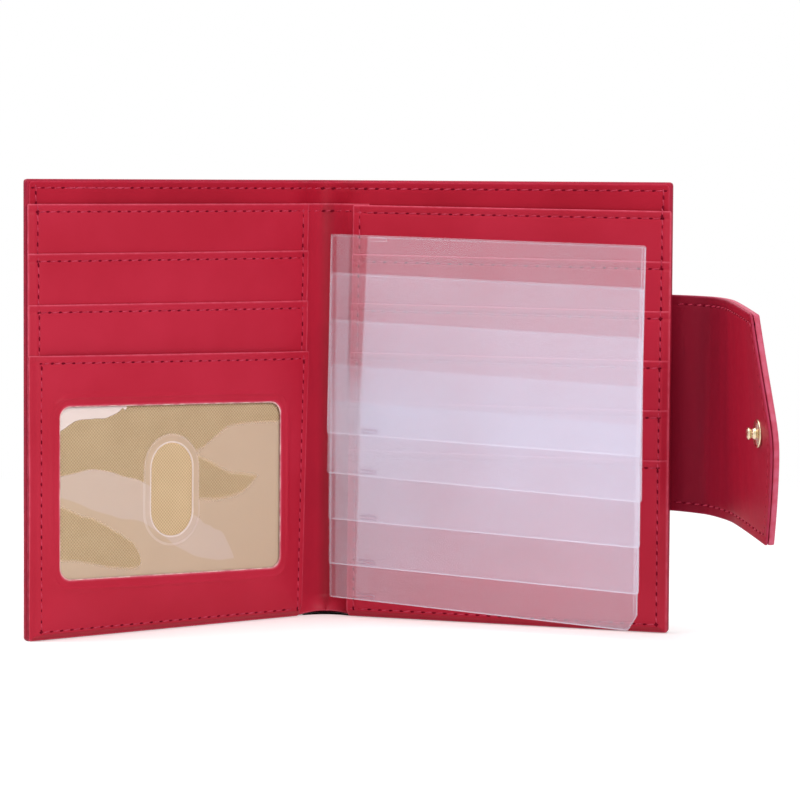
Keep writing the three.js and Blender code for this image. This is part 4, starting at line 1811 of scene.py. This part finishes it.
@dataclass
class Snap:
    """The two halves of the gold snap."""

    finishes: Finishes
    gap: float = 0.2
    flange: Pair = (3.9, 0.6)
    flange_sink: float = 0.25
    post: float = 2.6
    head: Pair = (1.7, 0.9)
    waist: float = 1.3
    socket: Pair = (5.2, 2.9)
    socket_sink: float = 0.15
    socket_rim: float = 3.6
    socket_floor: float = 0.6
    bore: float = 2.0
    spring: float = 2.5

    def stud(self, path: Path, reach: float, z: float) -> None:
        """Sets the stud on the tab's facing.

        Args:
            path: The tab's path.
            reach: Its reach along the tab.
            z: Its height before the tab hangs down.
        """
        flange_r, flange_t = self.flange
        head_r, head_length = self.head
        seat = self.gap - self.flange_sink
        neck = self.gap + flange_t
        tip = neck + self.post
        profile = softened([
            (0, seat), (flange_r, seat), (flange_r, neck - 0.2), (head_r + 0.9, neck + 0.15),
            (head_r, neck + 0.3), (self.waist, neck + 0.9), (self.waist, tip - head_length - 0.2),
            (head_r, tip - head_length + 0.2), (head_r, tip - 0.4), (self.waist * 0.8, tip), (0, tip)], 0.22)
        stud = lathe(profile, path.spot(reach, 0, z), path.axis(reach, z))
        fit(stud.piece("stud_half", self.finishes.gold), Ride("tab_end"), Slot.GOLD, "snap_stud")

    def cup(self, path: Path, reach: float, z: float) -> None:
        """Sets the socket on the outside of the front cover.

        Args:
            path: The wing's path.
            reach, z: Its place on the wing.
        """
        radius, height = self.socket
        seat = self.gap - self.socket_sink
        floor = seat + self.socket_floor
        top = self.gap + height
        profile = softened([
            (0, seat), (radius, seat), (radius, top - 1.0), (self.socket_rim + 0.3, top - 0.1),
            (self.socket_rim, top), (self.bore + 0.35, top), (self.bore, top - 0.5), (self.bore, top - 1.0),
            (self.spring, top - 1.6), (self.spring, floor), (0, floor)], 0.25)
        cup = lathe(profile, path.spot(reach, -COVER_T, z), -path.axis(reach, z))
        fit(cup.piece("socket_half", self.finishes.gold), Ride("front_wing"), Slot.GOLD, "snap_socket")


# Clear insert

@dataclass(frozen=True)
class SleeveSpec:
    """One sleeve: its heights at the folded edge, how far they fall to its outer edge, and both its edges.

    Each edge is given at its foot and at its top.
    """

    number: int
    top: float
    foot: float
    top_fall: float
    foot_fall: float
    start: Pair
    end: Pair


SLEEVES = (
    SleeveSpec(1, 114.15, 55.2, 1.9, 2.5, (1.2, 2.3), (104.4, 105.5)),
    SleeveSpec(2, 102.9, 43.3, 2.6, 3.6, (0.8, 1.8), (104.5, 104.5)),
    SleeveSpec(3, 88.95, 29.6, 2.8, 3.0, (0.8, 1.3), (103.6, 103.6)),
    SleeveSpec(4, 75.6, 16.15, 3.3, 2.85, (0.5, 0.8), (103.0, 103.0)),
    SleeveSpec(5, 64.8, 6.1, 3.3, 3.55, (0.3, 0.3), (102.2, 102.2)),
)


class SleevePath(PlanPath):
    """A sleeve's own line: reach from its folded edge, and height from its foot."""

    SWAY = 0.22

    def __init__(self, spec: SleeveSpec, width: float) -> None:
        """Starts from the sleeve's hinge."""
        x, y, _ = JOINTS[f"sleeve_{spec.number}_turn"]["pos_m"]
        line = straight(x / MM, y / MM, -BACK_OPEN - INSERT_SWING, 1)
        super().__init__(line.along, line.points, 1)
        self.spec, self.width = spec, width

    def place(self, reach: Array, depth: Array, z: Array) -> Array:
        """Places in metres, between the sleeve's own edges, with a slight sway."""
        spec, share = self.spec, reach / self.width
        up = z / (spec.top - spec.foot)
        foot = spec.foot - spec.foot_fall * share
        top = spec.top - spec.top_fall * share
        start, end = (low + (high - low) * up for low, high in (spec.start, spec.end))
        sway = self.SWAY * np.sin(np.pi * share) * np.sin(z * 0.05 + spec.number)
        return super().place(start + (end - start) * share, depth + sway * smooth(0, 20, reach),
                             foot + (top - foot) * up)


@dataclass
class Insert:
    """Five clear sleeves, each of two films welded round three sides, and the strip that holds them."""

    finishes: Finishes
    width: float = 102.2
    film: float = 0.2
    slot: float = 0.2
    mouth: float = 0.4
    binding_foot: float = 8.8
    binding_slope: float = 0.0324
    gutter: float = 1.35
    last_cut: Pair = (2.9, 4.6)
    haze: Colour = (237, 239, 255)
    veil: float = 0.09
    binding_veil: float = 0.06
    tongue_veil: float = 0.02
    tongue_reach: Pair = (-3.6, 7.0)
    tongue_z: Pair = (6.6, 112.9)
    tongue: Pair = (5.55, 5.75)
    weld: float = 0.3
    weld_relief: float = 0.03
    border: float = 1.25
    fold: float = 0.12
    top_stop: float = 1.8
    foot_stop: float = 0.7
    stop_gap: float = 0.8
    stop_size: Pair = (5.6, 1.3)

    def build(self) -> None:
        """Makes the sleeves and the strip."""
        finish = self._finish("sleeve_film", self.veil, self.binding_veil)
        clear = self._finish("tongue_film", self.tongue_veil, self.tongue_veil)
        for spec in SLEEVES:
            self._sleeve(spec, finish)
        back, front = self.tongue
        strip = Slab(lines(*self.tongue_reach, 1.5), lines(*self.tongue_z, FILM_GRID), level(back),
                     level(front), roll=0.1, rim=0.1, corner=0.8)
        fit_film(strip.solid(wing_path(Side.BACK)).piece("insert_strip", clear), Ride("back_wing"),
                 "insert_tongue")

    def _finish(self, name: str, veil: float, binding_veil: float) -> Material:
        """A film's material."""
        return SleeveFinish(name, self.haze, veil, binding_veil, self.binding_foot, self.binding_slope,
                            self.gutter).make()

    def _end(self, z: Array) -> Array:
        """Where the last sleeve's outer edge ends at each height: its lower corner is cut."""
        cut_width, cut_height = self.last_cut
        return self.width - cut_width * np.clip(1 - z / cut_height, 0, 1)

    def _sleeve(self, spec: SleeveSpec, finish: Material) -> None:
        """Makes the two films of a sleeve and its welds.

        Args:
            spec: The sleeve.
            finish: The film's material.
        """
        path = SleevePath(spec, self.width)
        high = spec.top - spec.foot
        hold = Ride(f"sleeve_{spec.number}")
        inner = self.slot / 2
        outer = inner + self.film
        end = self._end if spec is SLEEVES[-1] else None
        for face, back, front, top in (("back", -outer, -inner, high),
                                       ("front", inner, outer, high - self.mouth)):
            slab = Slab(lines(0, self.width, FILM_GRID), lines(0, top, FILM_GRID, [self.last_cut[1]]),
                        level(back), level(front), roll=0.1, corner=0.8, high_end=end)
            fit_film(slab.solid(path).piece(f"sleeve_{spec.number}_{face}_film", finish), hold,
                     f"sleeve_{spec.number}_{face}")
        # The foot stops take the darker mauve finish, which is painted shade in the pressed lines.
        for name, bars, melted in (("welds", self._welds(spec, high), self.finishes.weld),
                                   ("stop", self._stop(spec, self.foot_stop), self.finishes.stop)):
            solids = [self._bar(bar).solid(path) for bar in bars]
            fit_film(sum(solids[1:], solids[0]).piece(f"sleeve_{spec.number}_{name}", melted), hold)

    def _bar(self, bar: Bar) -> Slab:
        """One melted line through both films, a little proud of them."""
        low, end, foot, top = bar
        out = self.slot / 2 + self.film + self.weld_relief
        columns, rows = (np.linspace(start, stop, max(3, round((stop - start) / FILM_GRID)))
                         for start, stop in ((low, end), (foot, top)))
        return Slab(columns, rows, level(-out), level(out), roll=0.15)

    def _welds(self, spec: SleeveSpec, high: float) -> list[Bar]:
        """A sleeve's melted lines: its double border, its foot, its upper stop and the first one's fold.

        Args:
            spec: The sleeve.
            high: Its height.

        Returns:
            The lines.
        """
        cut = self.last_cut[1] if spec is SLEEVES[-1] else 0.4
        inner = self.width - self.border
        bars = [
            (inner, inner + self.weld, cut, high - self.mouth),
            (self.width - self.weld, self.width - 0.02, cut, high - self.mouth),
            (0.2, self.width - self.last_cut[0], 0.0, self.weld),
        ]
        if spec is SLEEVES[0]:
            bars.append((0.0, self.fold, 0.2, high))
        return bars + self._stop(spec, high - self.top_stop)

    def _stop(self, spec: SleeveSpec, z: float) -> list[Bar]:
        """A small pressed stop beside the binding: two lines and their end.

        Args:
            spec: The sleeve.
            z: The stop's height above its foot.

        Returns:
            The lines.
        """
        length, top = self.stop_size
        start = self.binding_foot + self.binding_slope * (spec.foot + z) + self.stop_gap
        end = start + length
        return [(start, end, z, z + self.weld), (start, end, z + 0.95, z + top),
                (end - self.weld, end, z + 0.35, z + 0.9)]


# Closing tab

@dataclass
class ClosingTab:
    """The tab: an outer leather and a facing, from its seam on the back cover to its pointed end."""

    finishes: Finishes
    seams: Seams
    seam_reach: float = -19.2
    reach: float = 37.0
    crown: float = 15.5
    skew: float = 0.7
    tip: float = 0.16
    sag: float = 7.0
    sag_ease: float = 9.0
    top_fall: float = 0.7
    twist: float = 3.1
    early: float = 3.2
    soft_bend: float = 7.0
    end_bend: float = 9.0
    bulge: float = 1.4
    bulge_width: float = 7.0
    outer: Pair = (-2.6, -0.95)
    facing: Pair = (-0.75, 0.0)
    edge_seam: float = 2.6
    seam_pull: float = 0.1
    stitch_sink: float = 0.08
    wrinkle: float = 0.05
    wrinkle_reach: float = 10.0
    wrinkle_width: float = 14.0
    middle: float = TAB_BRIDGE / 2
    middle_z: float = (TAB_FOOT + TAB_TOP) / 2
    stud_lift: float = 5.0

    def __post_init__(self) -> None:
        """Lays out the tab's path, and how its two halves bend."""
        self.path = TwistedPath(self._line(-self.twist, 0.0), self._line(self.twist, self.early),
                                TAB_FOOT, TAB_TOP, self._fall, self._bulge)
        self.root = self._bend("back_wing", "tab_bridge", 0.0)
        self.end = self._bend("tab_bridge", "tab_end", TAB_BRIDGE)

    def build(self, snap: Snap) -> None:
        """Makes the layers in two halves, sews them and sets the stud.

        Args:
            snap: Makes the stud.
        """
        self._layer("outer", "outer", self.outer, self.finishes.tab_edge, Slot.LEATHER)
        self._layer("facing", "lining", self.facing, self.finishes.tab_facing, Slot.LINING)
        self._sew()
        seat = np.array([TAB_BRIDGE + SNAP_REACH])
        hung = SNAP_Z + self._fall(seat, np.array([SNAP_Z + self.stud_lift]))
        snap.stud(self.path, float(seat[0]), float(hung[0]))

    def _bend(self, first: str, second: str, reach: float) -> Bend:
        """How the tab bends between two bodies at a reach."""
        ends = (reach - self.soft_bend, reach + self.soft_bend)
        return Bend(first, second, *(self.path.spot(end, 0, self.middle_z) for end in ends))

    def _line(self, twist: float, early: float) -> PlanPath:
        """The tab's line in plan, from its seam to past its tip.

        Args:
            twist: How much further the end turns.
            early: How much sooner it turns.

        Returns:
            The line.
        """
        step, spare = 0.25, 4
        along = np.arange(self.seam_reach - 1, TAB_BRIDGE + self.reach + self.crown + spare, step)
        root = smooth(-self.soft_bend, self.soft_bend, along)
        turn = TAB_BRIDGE - early
        end = smooth(turn - self.end_bend, turn + self.end_bend, along)
        heading = np.radians(-BACK_OPEN - TAB_ROOT_BEND * root - (TAB_END_BEND + twist) * end)
        ways = np.stack([np.cos(heading), np.sin(heading)], 1)
        points = np.concatenate([[[0, 0]], np.cumsum((ways[1:] + ways[:-1]) / 2 * step, axis=0)])
        seat = wing_path(Side.BACK).spot(TAB_BEND_REACH + along[0], -TAB_SEAT, 0) / MM
        return PlanPath(along, points + np.array([seat.x, seat.y]), 1)

    def _fall(self, reach: Array, z: Array) -> Array:
        """How far the tab hangs down at each place, less at its top edge."""
        past = np.clip((reach - TAB_BRIDGE) / self.sag_ease, -30, 30)
        hung = math.tan(math.radians(self.sag)) * self.sag_ease * np.log1p(np.exp(past))
        return hung * (1 - (1 - self.top_fall) * (z - TAB_FOOT) / (TAB_TOP - TAB_FOOT))

    def _bulge(self, reach: Array, z: Array) -> Array:
        """How far the bridge bulges outwards, clear of the sleeves when the wallet is closed."""
        return self.bulge * hump(reach - self.middle, self.bulge_width)

    def _end(self, z: Array) -> Array:
        """Where the tab ends at each height: a blunt point in the middle."""
        share = (z - self.middle_z) / ((TAB_TOP - TAB_FOOT) / 2)
        blunt = np.sqrt(share ** 2 + self.tip ** 2)
        return TAB_BRIDGE + self.reach + self.crown * (1 - blunt) + self.skew * share

    def _layer(self, name: str, node: str, depths: Pair, finish: Material,
               slot: Slot) -> None:
        """Makes one layer in two halves that meet in the middle of the bridge.

        Args:
            name: The layer's word in the names of its pieces.
            node: Its word in the names of nodes.
            depths: The depths of its back and its front.
            finish: Its material.
            slot: Its material slot.
        """
        back, front = depths
        pitch, row_pitch = 1.2, 2.5
        rows = lines(TAB_FOOT, TAB_TOP, row_pitch, (TAB_FOOT + self.edge_seam, TAB_TOP - self.edge_seam))

        def face(reach: Array, z: Array) -> Array:
            """The layer's reader side, pulled in along its seams and wrinkled by the bends."""
            sewn = (hump(z - TAB_FOOT - self.edge_seam, SEAM_WIDTH)
                    + hump(TAB_TOP - self.edge_seam - z, SEAM_WIDTH))
            waves = np.sin(reach * 1.1 + np.sin(z * 0.06)) + 0.6 * np.sin(reach * 2.3 + z * 0.03)
            bent = hump(reach - self.wrinkle_reach, self.wrinkle_width)
            return front - self.seam_pull * sewn - self.wrinkle * (1 + waves / 1.6) * bent

        tip = TAB_BRIDGE + self.reach + self.crown + self.skew
        first = Slab(lines(self.seam_reach, self.middle, pitch), rows, level(back), face,
                     roll=0.35, corner=1.0, cut_high=True)
        fit(first.solid(self.path).piece(f"tab_{name}_root", finish), self.root, slot,
            "tab_root", f"tab_bridge_{node}")
        second = Slab(lines(self.middle, tip, pitch, [tip - self.edge_seam]), rows, level(back), face,
                      roll=0.35, corner=1.0, cut_low=True, high_end=self._end)
        fit(second.solid(self.path).piece(f"tab_{name}_end", finish), self.end, slot,
            f"tab_bridge_{node}", f"tab_end_{node}")

    def _row(self, group: str, reach: Array, z: Array, outside: bool) -> None:
        """Sews one row on the facing, or on the outer leather."""
        hold = self.end if group == "tab_end" else self.root
        depth = level(self.outer[0] if outside else -self.stitch_sink)
        self.seams.add(group, hold, self.path, reach, z, depth, outside, TAB_STITCH)

    def _sew(self) -> None:
        """Sews round the tab's edge on both faces, and across its root on the outside."""
        inset = self.edge_seam
        low, high = TAB_FOOT + inset, TAB_TOP - inset
        out = np.linspace(self.middle, TAB_BRIDGE + self.reach - inset + 0.5, 40)
        round_z = np.linspace(low, high, 60)
        reach = np.concatenate([out, self._end(round_z) - inset, out[::-1]])
        z = np.concatenate([np.full_like(out, low), round_z, np.full_like(out, high)])
        seam = self.seam_reach + inset
        back = np.linspace(self.middle, seam, 40)
        across = np.linspace(low, high, 40)
        root_reach = np.concatenate([back, np.full_like(across, seam), back[::-1]])
        root_z = np.concatenate([np.full_like(back, low), across, np.full_like(back, high)])
        short = back[back > 1]
        self._row("tab_end", reach, z, False)
        for edge in (low, high):
            self._row("tab_root", short, np.full_like(short, edge), False)
        self._row("tab_end", reach, z, True)
        self._row("tab_root", root_reach, root_z, True)


# Studio

WHITE = (1, 1, 1, 1)


@dataclass
class Lamp:
    """One soft square lamp, aimed at the wallet."""

    name: str
    place: tuple[float, float, float]
    size: float
    power: float
    aim: tuple[float, float, float] = (0.02, -0.04, 0.06)

    def build(self) -> None:
        """Hangs the lamp."""
        light = bpy.data.lights.new(self.name, "AREA")
        light.energy, light.size = self.power, self.size
        lamp = put(self.name, light)
        lamp.location = self.place
        lamp.rotation_mode = "QUATERNION"
        lamp.rotation_quaternion = (Vector(self.aim) - Vector(self.place)).to_track_quat("-Z", "Y")


@dataclass
class Studio:
    """The camera, the pale floor and the soft light."""

    camera_place: tuple[float, float, float] = (21.81, -1075.3, 132.4)
    camera_pitch: float = 3.632
    camera_roll: float = 0.333
    focal_px: float = 3586.5
    frame_px: float = 800
    sensor: float = 36
    sky: float = 0.25
    lamps: tuple[Lamp, ...] = (
        Lamp("key_lamp", (0.5, -1.12, 0.85), 0.9, 12.0),
        Lamp("top_lamp", (0.0, 0.1, 1.2), 0.9, 4.0),
        Lamp("side_lamp", (-0.8, 0.05, 0.95), 0.9, 8.0),
    )
    film_layers: int = 40
    floor_half: float = 6.0
    floor_shade: float = 0.86
    floor_glow: float = 0.26
    floor_fade: Pair = (0.12, 0.5)
    hollow_shade: float = 0.03
    hollow_front: Pair = (6.1, 0.055)
    hollow_back: float = 0.11
    hollow_side: Pair = (6.6, 7.4)

    def build(self) -> None:
        """Sets the stage."""
        self._camera()
        self._sky()
        self._floor()
        for lamp in self.lamps:
            lamp.build()
        bpy.context.scene.view_settings.view_transform = "Standard"
        bpy.context.scene.cycles.transparent_max_bounces = self.film_layers

    def _camera(self) -> None:
        """The photograph's viewpoint."""
        lens = bpy.data.cameras.new("camera")
        lens.sensor_width = self.sensor
        lens.lens = self.focal_px * self.sensor / self.frame_px
        camera = put("camera", lens)
        tilt = Matrix.Rotation(math.radians(90 - self.camera_pitch), 4, "X")
        roll = Matrix.Rotation(math.radians(self.camera_roll), 4, "Z")
        camera.matrix_world = Matrix.Translation(Vector(self.camera_place) * MM) @ tilt @ roll
        bpy.context.scene.camera = camera

    @staticmethod
    def _seen(tree: Tree) -> Value:
        """1 for rays that show the stage: camera, glossy and transmission rays."""
        path = tree.node("ShaderNodeLightPath")
        camera, glossy, through = (Value(tree, path.outputs[f"Is {kind} Ray"])
                                   for kind in ("Camera", "Glossy", "Transmission"))
        return camera.most(glossy).most(through)

    def _sky(self) -> None:
        """Even white light, and a white background."""
        world = bpy.data.worlds.new("studio")
        world.use_nodes = True
        bpy.context.scene.world = world
        tree = Tree(world.node_tree)
        tree.nodes.nodes.clear()
        light, white = (tree.value("ShaderNodeBackground", None, {"Color": WHITE, "Strength": strength})
                        for strength in (self.sky, 1.0))
        tree.node("ShaderNodeOutputWorld", None, {"Surface": tree.between(self._seen(tree), light, white)})

    def _hollow(self, tree: Shader) -> Value:
        """1 on the floor between the spine's trough and its cover, where a dark painted shadow goes."""
        x, y, _ = (part / MM for part in tree.split(tree.place()))
        depth, curve = self.hollow_front
        behind = (y + x * x * curve + depth).eased(-0.2, 0.4)
        covered = (y + x * x * self.hollow_back).eased(-0.6, 0.0)
        return behind * (1 - covered) * (1 - x.size().eased(*self.hollow_side))

    def _floor(self) -> None:
        """A pale floor that shows white and keeps the wallet's shadow, with a painted dark shadow under the
        spine.
        """
        tree = Shader("pale_floor")
        matte, shown, painted_shadow_dark = (tree.value("ShaderNodeBsdfDiffuse", None, {"Color": (shade, shade, shade, 1)})
                              for shade in (self.floor_shade, 1.0, self.hollow_shade))
        bright, glow = (tree.value("ShaderNodeEmission", None, {"Color": WHITE, "Strength": strength})
                        for strength in (self.floor_glow, 1.0))
        near = tree.value("ShaderNodeAddShader", None, {0: shown, 1: bright})
        away = tree.value("ShaderNodeVectorMath", {"operation": "LENGTH"}, {0: tree.place()}, "Value")
        white = tree.between(away.eased(*self.floor_fade), near, glow)
        # Painted shadow: the floor under the spine shows almost black.
        kept = tree.between(self._hollow(tree), white, painted_shadow_dark)
        tree.node("ShaderNodeOutputMaterial", None, {"Surface": tree.between(self._seen(tree), matte, kept)})
        mesh = bpy.data.meshes.new("floor")
        far = self.floor_half
        corners = [(-far, -far, 0), (far, -far, 0), (far, far, 0), (-far, far, 0)]
        mesh.from_pydata(corners, [], [(0, 1, 2, 3)])
        mesh.materials.append(tree.material)
        floor = put("floor", mesh)


# The wallet

FRONT_POCKETS = PocketSteps(Side.FRONT, 2, BILL_TOP, 109.1, 14.6)
BACK_POCKETS = PocketSteps(Side.BACK, 5, BILL_TOP - 0.8, 107.7, 14.4)


@dataclass
class FrontWing(Wing):
    """The front wing: its pockets, and the window panel over their foot."""

    panel: PocketSpec = PocketSpec("window_frame", "window_panel", 79.9, PANEL_FOOT, 4.45, 5.05)

    def build(self) -> None:
        """Makes the pockets and the window, and sews them."""
        for spec in self.specs:
            self._pocket(spec)
        Window(self.finishes, self, self.panel).build()
        self._sew([*self.specs, self.panel])


def dress_hidden(finishes: Finishes) -> None:
    """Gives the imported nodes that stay, all of them inside the leather, their finish."""
    kept = {"front_board": finishes.card, "back_board": finishes.card,
            "socket_rivet": finishes.gold, "stud_rivet": finishes.gold}
    for name, finish in kept.items():
        for slot in frame["nodes"][name].material_slots:
            slot.material = finish
        LOG.info("%s keeps its packed shape", name)


def main() -> None:
    """Builds the wallet and its studio."""
    logging.basicConfig(level=logging.INFO, format="%(message)s")
    Studio().build()
    finishes = Finishes()
    seams = Seams(StitchTree(finishes))
    for side in Side:
        Shell(finishes, seams, side).build()
    front = PocketPath(Side.FRONT, (1.8, -1.8), (0.0187, 0.0))
    FrontWing(finishes, seams, front, Side.FRONT.wing, FRONT_POCKETS.specs(), 1.9, 95.5).build()
    back = PocketPath(Side.BACK, (-0.7, 0.1), (0.0, -0.0097))
    Wing(finishes, seams, back, Side.BACK.wing, BACK_POCKETS.specs(), 2.2, 96.0).build()
    Insert(finishes).build()
    snap = Snap(finishes)
    ClosingTab(finishes, seams).build(snap)
    snap.cup(wing_path(Side.FRONT), TAB_BEND_REACH - SNAP_REACH, SNAP_Z)
    seams.sew()
    dress_hidden(finishes)


if __name__ == "__main__":
    main()
